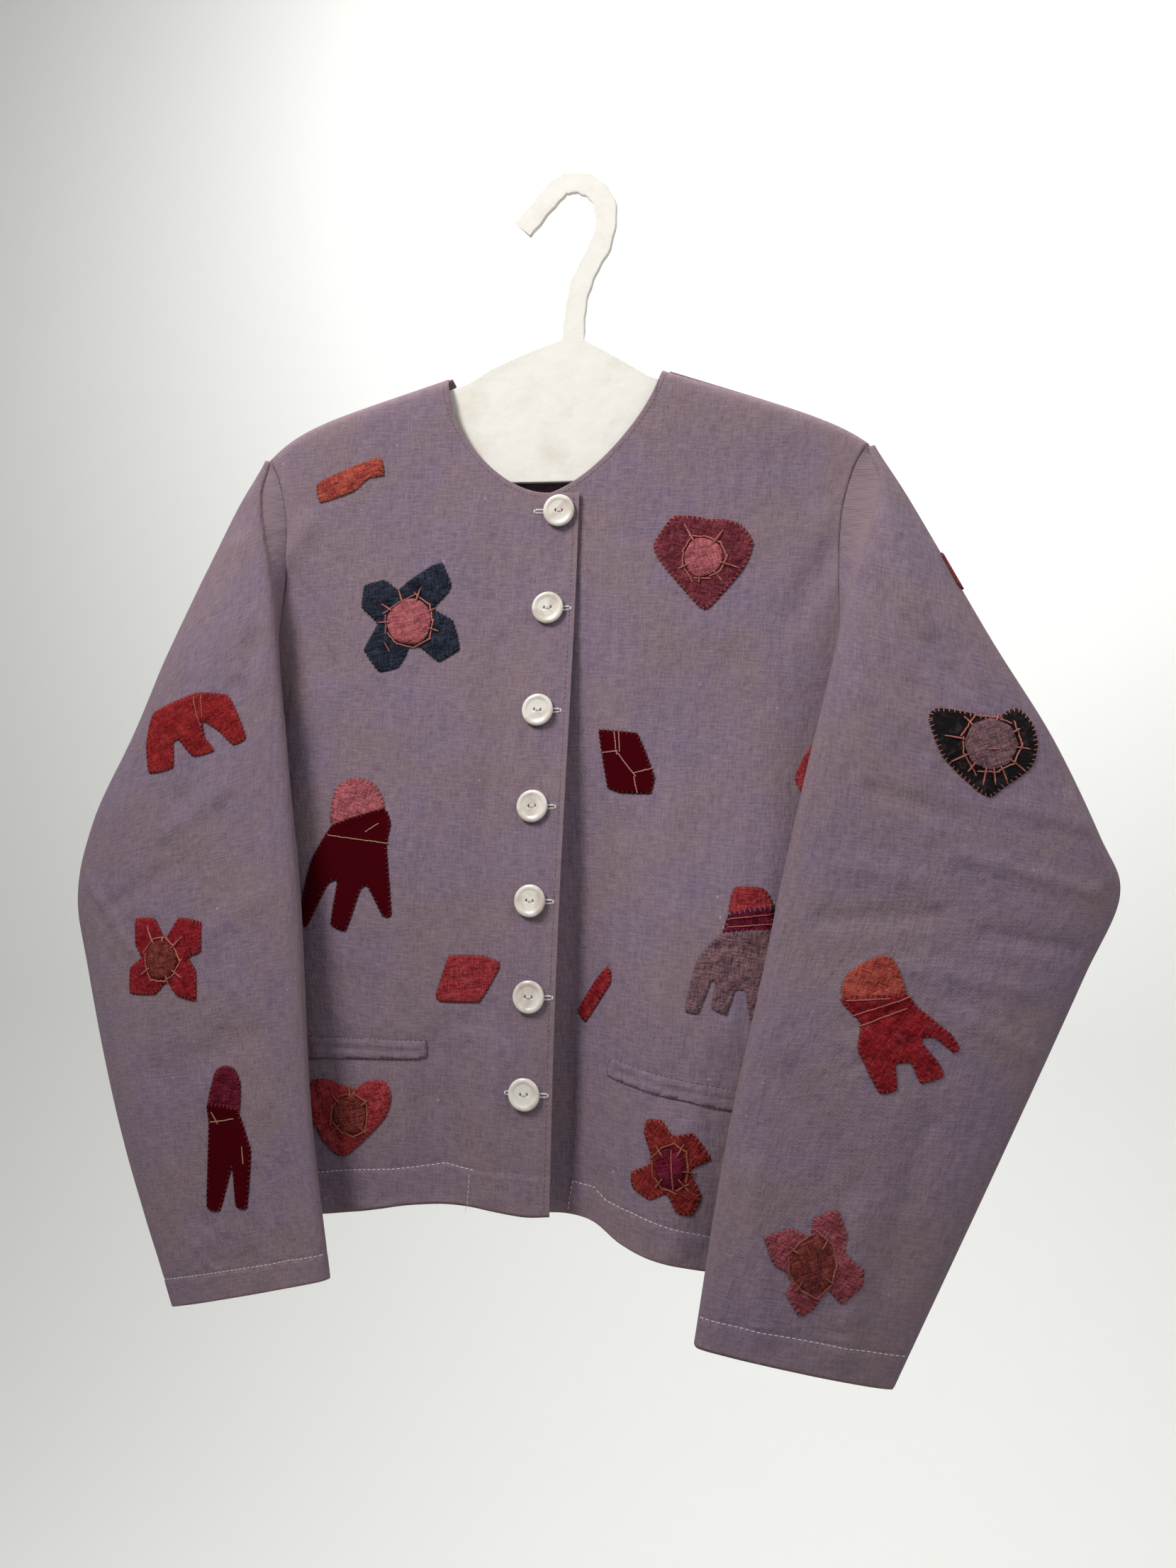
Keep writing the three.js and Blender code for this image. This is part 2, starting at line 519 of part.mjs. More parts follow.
// ---------------------------------------------------------------- outlines of the patches
// Each is [x, z] over the front, from the hand-cut shapes; whatever a sleeve covers is plain.
const PATCHES = [
  {
    name: "patch_bar_shoulder",
    on: "front_right",
    colour: COLOURS.orange,
    outline: [[-168, -193], [-165, -206], [-141, -199], [-130, -190], [-119, -188], [-122, -176], [-143, -182]],
  },
  {
    name: "patch_flower_navy",
    on: "front_right",
    colour: COLOURS.navy,
    splits: 1,
    outline: flower(-98, -288, [[48, 38], [131, 38], [222, 38], [318, 38]], 20, 14),
  },
  {
    name: "patch_heart_maroon",
    on: "front_left",
    colour: COLOURS.maroon,
    splits: 1,
    outline: [
      [81, -220], [97, -220], [104, -222], [115, -222], [126, -226], [134, -238], [128, -255],
      [109, -278], [104, -281], [99, -278], [75, -251], [69, -238],
    ],
  },
  {
    name: "patch_arch",
    on: "sleeve_right_top",
    colour: COLOURS.orange,
    outline: [
      [-277, -353], [-240, -340], [-216, -341], [-208, -350], [-198, -370], [-207, -375],
      [-219, -366], [-233, -359], [-231, -370], [-222, -379], [-239, -383], [-251, -372],
      [-256, -374], [-255, -391], [-276, -395], [-281, -374],
    ],
  },
  {
    name: "patch_hand_wine",
    on: "front_right",
    colour: COLOURS.darkRed,
    outline: [
      [-143, -427], [-156, -450], [-163, -483], [-162, -495], [-157, -495], [-144, -467],
      [-137, -464], [-140, -493], [-129, -497], [-120, -469], [-115, -467], [-103, -486],
      [-97, -485], [-103, -440], [-101, -425], [-107, -415],
    ],
  },
  {
    name: "patch_hand_wine_cap",
    on: "front_right",
    colour: COLOURS.pink,
    outline: [[-144, -424], [-144, -410], [-140, -400], [-129, -395], [-117, -398], [-110, -405], [-108, -413]],
  },
  {
    name: "patch_diamond_wine",
    on: "front_left",
    colour: COLOURS.darkRed,
    outline: [[37, -360], [63, -362], [70, -376], [76, -391], [74, -401], [54, -401], [45, -398], [41, -381]],
  },
  {
    name: "patch_side_red",
    on: "front_left",
    colour: COLOURS.red,
    outline: [[178, -364], [170, -376], [165, -389], [171, -400], [186, -400], [193, -386], [189, -368]],
  },
  {
    name: "patch_heart_black",
    on: "sleeve_left_top",
    colour: COLOURS.black,
    splits: 1,
    outline: [
      [247, -352], [252, -345], [275, -348], [287, -351], [294, -345], [301, -344], [309, -353],
      [312, -366], [308, -380], [290, -394], [285, -398], [277, -395], [256, -375],
    ],
  },
  {
    name: "patch_hand_mauve",
    on: "front_left",
    colour: COLOURS.mauve,
    outline: [
      [124, -487], [110, -503], [105, -524], [104, -535], [112, -536], [119, -516], [122, -517],
      [120, -532], [129, -536], [134, -521], [140, -521], [144, -538], [153, -538], [156, -505],
      [155, -484],
    ],
  },
  {
    name: "patch_hand_mauve_band",
    on: "front_left",
    colour: COLOURS.plum,
    outline: [[128, -474], [155, -469], [156, -483], [124.5, -486]],
  },
  {
    name: "patch_hand_mauve_cap",
    on: "front_left",
    colour: COLOURS.red,
    outline: [[129, -473], [129, -463], [132, -458], [147, -458], [152, -462], [154, -468]],
  },
  {
    name: "patch_hand_red",
    on: "sleeve_left_top",
    colour: COLOURS.red,
    outline: [
      [199, -521], [211, -535], [210, -551], [223, -576], [233, -574], [232, -559], [241, -558],
      [247, -570], [260, -566], [257, -558], [247, -546], [248, -543], [255, -543], [266, -552],
      [269, -549], [264, -541], [244, -525], [236, -517],
    ],
  },
  {
    name: "patch_hand_red_cap",
    on: "sleeve_left_top",
    colour: COLOURS.orange,
    outline: [[202, -518], [202, -507], [221, -495], [228, -496], [235, -514], [220, -518]],
  },
  {
    name: "patch_flower_red",
    on: "sleeve_right_top",
    colour: COLOURS.red,
    splits: 1,
    outline: [
      [-281, -495], [-264, -494], [-254, -507], [-243, -492], [-224, -494], [-223, -513],
      [-233, -518], [-226, -527], [-225, -546], [-241, -544], [-250, -535], [-261, -545],
      [-283, -546], [-284, -529], [-274, -521], [-280, -512],
    ],
  },
  {
    name: "patch_diamond_red",
    on: "front_right",
    colour: COLOURS.red,
    outline: [[-56, -510], [-34, -509], [-21, -512], [-21, -517], [-34, -539], [-61, -540], [-64, -536]],
  },
  {
    name: "patch_bar_red",
    on: "front_left",
    colour: COLOURS.red,
    outline: [[50, -512], [53, -515], [53, -522], [35, -549], [32, -547], [29, -542], [41, -522]],
  },
  {
    name: "patch_hand_narrow",
    on: "sleeve_right_top",
    colour: COLOURS.darkRed,
    outline: [
      [-212, -612], [-210, -626], [-209, -679], [-198, -680], [-190, -651], [-185, -675],
      [-176, -675], [-175, -638], [-188, -613],
    ],
  },
  {
    name: "patch_hand_narrow_cap",
    on: "sleeve_right_top",
    colour: COLOURS.plum,
    outline: [[-210, -611], [-208, -596], [-205, -589], [-198, -586], [-191, -588], [-186, -597], [-188, -612]],
  },
  {
    name: "patch_heart_red",
    on: "front_right",
    colour: COLOURS.red,
    outline: [
      [-151, -602], [-148, -597], [-138, -596], [-120, -601], [-109, -595], [-97, -594],
      [-92, -603], [-96, -618], [-119, -642], [-129, -646], [-140, -637], [-151, -617],
    ],
  },
  {
    name: "patch_flower_rust",
    on: "front_left",
    colour: COLOURS.maroon,
    splits: 1,
    outline: [
      [81, -610], [83, -602], [92, -601], [100, -610], [112, -608], [123, -623], [111, -630],
      [118, -646], [113, -657], [104, -656], [97, -645], [86, -650], [74, -645], [73, -636],
      [87, -627],
    ],
  },
  {
    name: "patch_flower_rose",
    on: "sleeve_left_top",
    colour: COLOURS.rose,
    splits: 1,
    outline: [
      [159, -661], [174, -656], [185, -661], [187, -650], [200, -645], [206, -659], [205, -670],
      [216, -680], [216, -690], [204, -700], [196, -692], [187, -704], [180, -707], [172, -694],
      [177, -684], [165, -677],
    ],
  },
  { name: "disc_flower_navy", on: "patch_flower_navy", colour: COLOURS.pink, outline: disc(-96, -289, 15.5) },
  { name: "disc_heart_maroon", on: "patch_heart_maroon", colour: COLOURS.pink, outline: disc(102, -247, 12.5) },
  { name: "disc_heart_black", on: "patch_heart_black", colour: COLOURS.mauve, outline: disc(284, -366, 16, 8) },
  { name: "disc_flower_red", on: "patch_flower_red", colour: COLOURS.brown, outline: disc(-256, -521, 13) },
  { name: "disc_heart_red", on: "patch_heart_red", colour: COLOURS.brown, outline: disc(-121, -618, 12) },
  { name: "disc_flower_rust", on: "patch_flower_rust", colour: COLOURS.plum, outline: disc(99, -629, 9.5) },
  { name: "disc_flower_rose", on: "patch_flower_rose", colour: COLOURS.brown, outline: disc(187, -677, 12) },
  {
    name: "welt_right",
    on: "front_right",
    colour: COLOURS.cloth,
    thick: 1.2,
    outline: [[-154, -569], [-112, -567], [-70, -566], [-69, -577], [-111, -580], [-154, -583]],
  },
  {
    name: "welt_left",
    on: "front_left",
    colour: COLOURS.cloth,
    thick: 1.2,
    splits: 1,
    outline: [[55, -569], [74, -572], [106, -577], [139, -582], [138, -594], [106, -589], [74, -584], [53, -580]],
  },
];

// ---------------------------------------------------------------- buttons
const manifold = await Module();
manifold.setup();

function solid(geometry) {
  const bare = geometry.clone();
  bare.deleteAttribute("normal");
  bare.deleteAttribute("uv");
  const merged = mergeVertices(bare, 1e-4);
  return new manifold.Manifold(
    new manifold.Mesh({
      numProp: 3,
      vertProperties: merged.attributes.position.array,
      triVerts: new Uint32Array(merged.index.array),
    }),
  );
}

function geometryOf(piece) {
  const { numProp, vertProperties, triVerts } = piece.getMesh();
  const geometry = new THREE.BufferGeometry();
  geometry.setAttribute("position", new THREE.BufferAttribute(vertProperties.slice(), numProp));
  geometry.setIndex(new THREE.BufferAttribute(triVerts.slice(), 1));
  return geometry;
}

// A dished disc with a raised rim and two sewing holes side by side, its face towards -Y.
function buttonGeometry() {
  const { radius, thick, rim, dish, hole, holeStep } = BUTTON;
  const profile = [
    [0, 0],
    [radius, 0],
    [radius, thick * 0.6],
    [radius - rim, thick],
    [radius - rim - 1.5, thick - dish],
    [0, thick - dish],
  ].map(([r, y]) => new THREE.Vector2(r, y));
  let body = solid(new THREE.LatheGeometry(profile, 14));
  for (const side of [-1, 1]) {
    const drill = new THREE.CylinderGeometry(hole, hole, thick * 3, 4).translate(side * holeStep, 0, 0);
    body = body.subtract(solid(drill));
  }
  return geometryOf(body).rotateX(Math.PI);
}

const BUTTON_PLACES = [
  [5, -215],
  [0, -280],
  [-3, -348],
  [-3, -411],
  [-1, -472],
  [1, -533],
  [0, -595],
];

// ---------------------------------------------------------------- hanger
// One board: shoulders that follow the jacket's, and a flat hook that curls over to the left.
function hangerGeometry() {
  const line = new THREE.CatmullRomCurve3(
    [
      [9, -98], [10, -80], [13, -63], [19, -49], [26, -36], [29.5, -21], [28, -7.5], [21, 2.5],
      [12, 6.8], [5, 7.4], [-1.5, 5.5], [-9, -1], [-18, -11.5], [-28, -22.5],
    ].map(([x, z]) => new THREE.Vector3(x, z, 0)),
    false,
    "centripetal",
  );
  const half = BOARD.hookWidth / 2;
  const count = 26;
  const sides = { left: [], right: [] };
  for (let k = 0; k <= count; k += 1) {
    const point = line.getPoint(k / count);
    const tangent = line.getTangent(k / count);
    sides.left.push([point.x - tangent.y * half, point.y + tangent.x * half]);
    sides.right.push([point.x + tangent.y * half, point.y - tangent.x * half]);
  }
  const tipCentre = BOARD.tip - 9;
  const armTop = (x) => shoulderLine(x) - 5.6;
  const arm = (side) => [
    [side * 26 + 4, -105.5],
    [side * 48, -116],
    [side * 61, -124],
    [side * (NECK.x + 3), armTop(side * NECK.x) - 3],
    [side * tipCentre, armTop(side * tipCentre)],
    [side * (BOARD.tip - 2), armTop(side * tipCentre) - 5],
    [side * BOARD.tip, armTop(side * tipCentre) - 10],
    [side * (BOARD.tip - 3), armTop(side * tipCentre) - 16],
    [side * (tipCentre - 4), armTop(side * tipCentre) - 19],
    [side * 70, BOARD.bottom],
  ];
  const outline = [...sides.right, ...sides.left.reverse(), ...arm(-1), ...arm(1).reverse()];
  const shape = new THREE.Shape(outline.map(([x, z]) => new THREE.Vector2(x, z)));
  const board = new THREE.ExtrudeGeometry(shape, { depth: BOARD.thick, bevelEnabled: false });
  return board.rotateX(Math.PI / 2);
}

// ---------------------------------------------------------------- the whole
const jacket = new THREE.Group();
jacket.position.x = CENTRE_X;

function add(name, geometry, colour, roughness = 0.9) {
  const material = new THREE.MeshStandardMaterial({ color: colour, roughness, metalness: 0 });
  const mesh = new THREE.Mesh(geometry, material);
  mesh.name = name;
  jacket.add(mesh);
  return mesh;
}

add("hanger", hangerGeometry(), COLOURS.canvas);

const made = {
  front_right: wall(frontPanel(-1), FRONT_COLUMNS, BODY_ROWS, CLOTH),
  front_left: wall(frontPanel(1), FRONT_COLUMNS, BODY_ROWS, CLOTH),
  back: wall(backPanel(), BACK_COLUMNS, BODY_ROWS, CLOTH),
};
const sleeveColumns = steps(SLEEVE_COLUMNS.length + 3);
const underRows = SLEEVE_ROWS.filter((s) => s >= HINDARM_TOP).map((s) => Math.max(s, HINDARM_TOP + 0.002));
for (const [side, name] of [[-1, "sleeve_right"], [1, "sleeve_left"]]) {
  made[`${name}_top`] = wall(topSleeve(side), sleeveColumns, SLEEVE_ROWS, CLOTH);
  made[`${name}_under`] = wall(underSleeve(side), steps(7), underRows, CLOTH);
}
for (const [name, geometry] of Object.entries(made)) add(name, geometry, COLOURS.cloth);

for (const { name, on, colour, outline, splits, thick } of PATCHES) {
  const panel = PATCHES.find((patch) => patch.name === on)?.on;
  const below = panel ? [made[on], made[panel]] : [made[on]];
  made[name] = sewnOn(outline, skinOf(...below), { splits, thick });
  add(name, made[name], colour);
}

// A scrap that wraps the outer edge of the viewer's right sleeve.
const wrapped = (u, v) => {
  const s = lerp(0.112, 0.143, v);
  const w = lerp(0.5, 0.65, u);
  const at = (ds, dw) => new THREE.Vector3(...sleevePoint(1, s + ds, w + dw));
  const along = at(0.004, 0).sub(at(-0.004, 0));
  const across = at(0, 0.004).sub(at(0, -0.004));
  const normal = along.cross(across).normalize();
  return at(0, 0).addScaledVector(normal, CLOTH / 2 + GAP + EASE + PATCH / 2);
};
add("patch_edge_red", wall(wrapped, steps(6), steps(2), PATCH), COLOURS.red);

// Each button lies on the lapping front, square to the cloth there.
const lapSkin = skinOf(made.front_right);
BUTTON_PLACES.forEach(([x, z], k) => {
  const button = add(`button_${k + 1}`, buttonGeometry(), COLOURS.pearl, 0.35);
  const slopeX = (lapSkin(x + 8, z) - lapSkin(x - 8, z)) / 16;
  const slopeZ = (lapSkin(x, z + 8) - lapSkin(x, z - 8)) / 16;
  const normal = new THREE.Vector3(slopeX, -1, slopeZ).normalize();
  button.quaternion.setFromUnitVectors(new THREE.Vector3(0, -1, 0), normal);
  button.position.set(x, lapSkin(x, z), z).addScaledVector(normal, GAP + EASE);
});

const root = new THREE.Group();
root.add(jacket);
export default root;
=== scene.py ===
# Looks of a short cotton jacket sewn with hand-cut patches, buttoned up on a cloth-covered hanger.
# Blender units are metres. Cloth shapes are worked out in millimetres in the jacket's own frame,
# +X to the viewer's right, front towards -Y, +Z up, and turned to metres by place().
import math
import random
from functools import lru_cache

import bmesh
import bpy
from mathutils import Matrix, Vector, noise
from mathutils.bvhtree import BVHTree


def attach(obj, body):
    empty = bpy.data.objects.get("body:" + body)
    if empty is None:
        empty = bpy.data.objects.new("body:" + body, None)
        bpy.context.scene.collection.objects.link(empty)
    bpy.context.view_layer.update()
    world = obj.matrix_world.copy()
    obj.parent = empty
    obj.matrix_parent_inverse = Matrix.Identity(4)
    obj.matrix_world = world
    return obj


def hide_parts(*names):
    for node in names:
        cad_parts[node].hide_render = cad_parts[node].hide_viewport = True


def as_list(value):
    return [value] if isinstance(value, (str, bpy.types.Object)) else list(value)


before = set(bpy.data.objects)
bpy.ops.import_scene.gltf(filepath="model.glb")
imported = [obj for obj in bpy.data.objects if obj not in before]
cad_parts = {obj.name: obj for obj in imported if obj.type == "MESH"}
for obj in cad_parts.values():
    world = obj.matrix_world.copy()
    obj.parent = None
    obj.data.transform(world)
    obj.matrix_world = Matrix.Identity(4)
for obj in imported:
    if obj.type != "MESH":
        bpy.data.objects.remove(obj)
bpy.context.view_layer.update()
rng = random.Random(7)

MM = 0.001
CENTRE_X = -5.0  # the jacket's middle hangs a little left of the hook's crook
CLOTH = 1.1  # cotton, doubled at its turned edges
PATCH = 0.55
CLEAR = 0.12  # air between a patch and the cloth it is sewn to
CREASE_DEPTH = 1.7  # every crease stands this much higher than its listed height


def place(x, y, z):
    """A point of the jacket's own frame, in millimetres, as metres in the part's frame."""
    return Vector(((x + CENTRE_X) * MM, y * MM, z * MM))


def clamp(t, low=0.0, high=1.0):
    return max(low, min(high, t))


def smooth(t):
    t = clamp(t)
    return t * t * (3 - 2 * t)


def lerp(a, b, t):
    return a + (b - a) * t


def curve(start, end, slope_in, slope_out, t):
    """A cubic from start to end, leaving and arriving at the given slopes."""
    keep = 2 * t**3 - 3 * t**2 + 1
    value = keep * start + (1 - keep) * end
    return value + (t**3 - 2 * t**2 + t) * slope_in + (t**3 - t**2) * slope_out


def through(rows, s):
    """A smooth curve through rows of (parameter, value, value, ...), read at one parameter."""
    last = len(rows) - 1
    k = 0
    while k < last - 1 and s > rows[k + 1][0]:
        k += 1
    a, b, c, d = rows[max(k - 1, 0)], rows[k], rows[k + 1], rows[min(k + 2, last)]
    span = c[0] - b[0]
    t = (s - b[0]) / span
    values = []
    for i in range(1, len(b)):
        slope_in = c[i] - b[i] if a is b else (c[i] - a[i]) / (c[0] - a[0]) * span
        slope_out = c[i] - b[i] if d is c else (d[i] - b[i]) / (d[0] - b[0]) * span
        values.append(curve(b[i], c[i], slope_in, slope_out, t))
    return values


# ---------------------------------------------------------------- camera, floor and light
def make_camera():
    """Stands a metre in front, a little to the right, and is turned slightly."""
    turn, tilt, roll = math.radians(12.5), math.radians(-0.6), math.radians(1.4)
    back = Vector((math.sin(turn) * math.cos(tilt), -math.cos(turn) * math.cos(tilt), math.sin(tilt)))
    right = Vector((math.cos(turn), math.sin(turn), 0))
    up = back.cross(right)
    across = right * math.cos(roll) + up * math.sin(roll)
    above = up * math.cos(roll) - right * math.sin(roll)
    data = bpy.data.cameras.new("camera")
    data.lens = 35
    data.sensor_width = 36
    data.clip_start = 0.05
    data.clip_end = 50
    camera = bpy.data.objects.new("camera", data)
    bpy.context.scene.collection.objects.link(camera)
    matrix = Matrix((across, above, back)).transposed().to_4x4()
    matrix.translation = Vector((0.241, -0.992, -0.406))
    camera.matrix_world = matrix
    bpy.context.scene.camera = camera


def add_light(name, at, towards, size, power, tint, spread=180):
    data = bpy.data.lights.new(name, "AREA")
    data.shape = "SQUARE"
    data.size = size
    data.energy = power
    data.color = tint
    data.spread = math.radians(spread)
    light = bpy.data.objects.new(name, data)
    light.location = at
    light.rotation_mode = "QUATERNION"
    light.rotation_quaternion = (Vector(towards) - Vector(at)).to_track_quat("-Z", "Y")
    light.visible_camera = False
    bpy.context.scene.collection.objects.link(light)


def colour(text):
    """An sRGB hex colour as linear RGBA."""
    parts = [int(text[i : i + 2], 16) / 255 for i in (1, 3, 5)]
    linear = [c / 12.92 if c <= 0.04045 else ((c + 0.055) / 1.055) ** 2.4 for c in parts]
    return (*linear, 1.0)


def node(tree, kind, inputs=None, **settings):
    """Adds a node with its settings, and sets or links its inputs by name or number."""
    made = tree.nodes.new(kind)
    for key, value in settings.items():
        setattr(made, key, value)
    for key, value in (inputs or {}).items():
        if isinstance(value, bpy.types.NodeSocket):
            tree.links.new(value, made.inputs[key])
        else:
            made.inputs[key].default_value = value
    return made


def new_material(name):
    material = bpy.data.materials.new(name)
    material.use_nodes = True
    material.node_tree.nodes.clear()
    return material, material.node_tree


def dyed(tree, base, layers):
    """A base colour under tints, each laid where a pattern's value runs from low to high."""
    mixed = colour(base)
    for value, low, high, most, tint in layers:
        share = node(tree, "ShaderNodeMapRange", {"Value": value, 1: low, 2: high, 4: most}).outputs[0]
        inputs = {0: share, 6: mixed, 7: colour(tint)}
        mixed = node(tree, "ShaderNodeMix", inputs, data_type="RGBA").outputs[2]
    return mixed


def finish(tree, base, surface, heights=()):
    """Ends a material: one shader over layers of fine relief, each a height, strength and mm."""
    inputs = {"Base Color": base, **surface}
    for height, strength, deep in heights:
        layer = {"Height": height, "Strength": strength, "Distance": deep * MM}
        if "Normal" in inputs:
            layer["Normal"] = inputs["Normal"]
        inputs["Normal"] = node(tree, "ShaderNodeBump", layer).outputs[0]
    shader = node(tree, "ShaderNodeBsdfPrincipled", inputs)
    node(tree, "ShaderNodeOutputMaterial", {"Surface": shader.outputs["BSDF"]})


FLOOR_Z = -1.95
WALL_Y = 2.7


def make_stage():
    """A pale floor that curves up into plain walls all round, open above, matte paint."""
    bm = bmesh.new()
    bmesh.ops.create_cube(bm, size=1)
    bmesh.ops.scale(bm, verts=bm.verts, vec=(12, 12, 6))
    bmesh.ops.translate(bm, verts=bm.verts, vec=(0, WALL_Y - 6, FLOOR_Z + 3))
    bmesh.ops.delete(bm, geom=[f for f in bm.faces if f.normal.z > 0.5], context="FACES_ONLY")
    bends = [e for e in bm.edges if len(e.link_faces) == 2]
    bmesh.ops.bevel(bm, geom=bends, offset=1.0, segments=16, profile=0.5, affect="EDGES", material=-1)
    floor = object_of(bm, "floor")
    material, tree = new_material("white_emulsion_paint")
    finish(tree, colour("#f1f1ef"), {"Roughness": 0.9})
    floor.data.materials.append(material)


def object_of(bm, name, shade=True):
    """A new object at the origin with this mesh."""
    data = bpy.data.meshes.new(name)
    for face in bm.faces:
        face.smooth = shade
    bm.to_mesh(data)
    bm.free()
    made = bpy.data.objects.new(name, data)
    bpy.context.scene.collection.objects.link(made)
    return made


# ---------------------------------------------------------------- the form the cloth hangs in
NECK = (74.0, -121.5)  # x and z where shoulder seam and neckline meet
TIP = (205.0, -173.5)
UNDERARM = (216.0, -405.0)
HEM_SIDE = (222.0, -688.0)
SHOULDER_Y = -2.0
NECK_DEPTH, BACK_NECK_DEPTH = 81.0, 20.0
NECK_MIDDLE, NECK_SHIFT = -5.0, -3.0  # the neckline hangs a little to one side
LAP = 18.0  # how far the lapping front reaches past the middle
SEAM_HALF = 0.55  # half the room between front and back cloth at a seam
FORM_FRONT = (-7.0, -29.5, 430.0)  # over the board, swing below it, and that swing's length
FORM_BACK = (6.6, 5.2, 300.0)
ARMHOLE_END = 0.41  # the share of a sleeve's length that is set into the body
RING_START = math.radians(25)  # a sleeve's ring starts this far behind its inner fold
SIDE_SEAM = [
    (173.5, 205), (190, 196.5), (218, 190), (245, 189), (285, 191), (325, 196), (368, 205),
    (405, 216), (500, 218), (688, 222),
]


@lru_cache(maxsize=None)
def side_x(z):
    return through(SIDE_SEAM, -z)[0]


def shoulder_share(x):
    return (abs(x) - NECK[0]) / (TIP[0] - NECK[0])


def shoulder_bow(x):
    """How far the seam is carried up towards the shoulder tip."""
    t = clamp(shoulder_share(x))
    return (13.5 if x < 0 else 8.0) * t * (1 - t**6)


def shoulder_line(x):
    return lerp(NECK[1], TIP[1], shoulder_share(x)) + shoulder_bow(x)


def side_half(z):
    return side_x(z) + 50 * (1 - smooth((TIP[1] - z) / 231))


def side_y(z):
    return SHOULDER_Y - 12 * smooth((TIP[1] - z) / 240)


def body_y(x, z, over_board, swing, swing_length):
    """Depth of the body: round over the board, then swinging out, and closed at the side seams."""
    below = max(0.0, shoulder_line(x) - z)
    rounded = over_board * (1 - math.exp(-below / 3.5))
    middle = SHOULDER_Y + rounded + swing * smooth((-170 - z) / swing_length)
    q = min(1.0, abs(x) / side_half(z))
    return side_y(z) + (middle - side_y(z)) * math.sqrt(1 - q**4)


def back_y(x, z):
    folds = 3.5 * smooth((-260 - z) / 380) * math.cos(x / 46) * (1 - (x / 235) ** 4)
    return body_y(x, z, *FORM_BACK) + folds


def front_y(x, z, under):
    """The lapping front stands forward at its edge; the one under it dips, then swings out."""
    y = body_y(x, z, *FORM_FRONT)
    if not under:
        stand = 6 * smooth((-230 - z) / 260) * math.exp(-(((x - 12) / 38) ** 2))
        return y - 1.2 * smooth((x + 40) / 35) - stand
    low = smooth((-330 - z) / 340)
    dip = 11 * smooth((-240 - z) / 300) * math.exp(-(((x - 26) / 20) ** 2))
    fold = 30 * low * smooth((x - 38) / 55) * (1 - smooth((x - 150) / 75))
    return y + 1.3 * (1 - smooth((x - 20) / 30)) + dip - fold


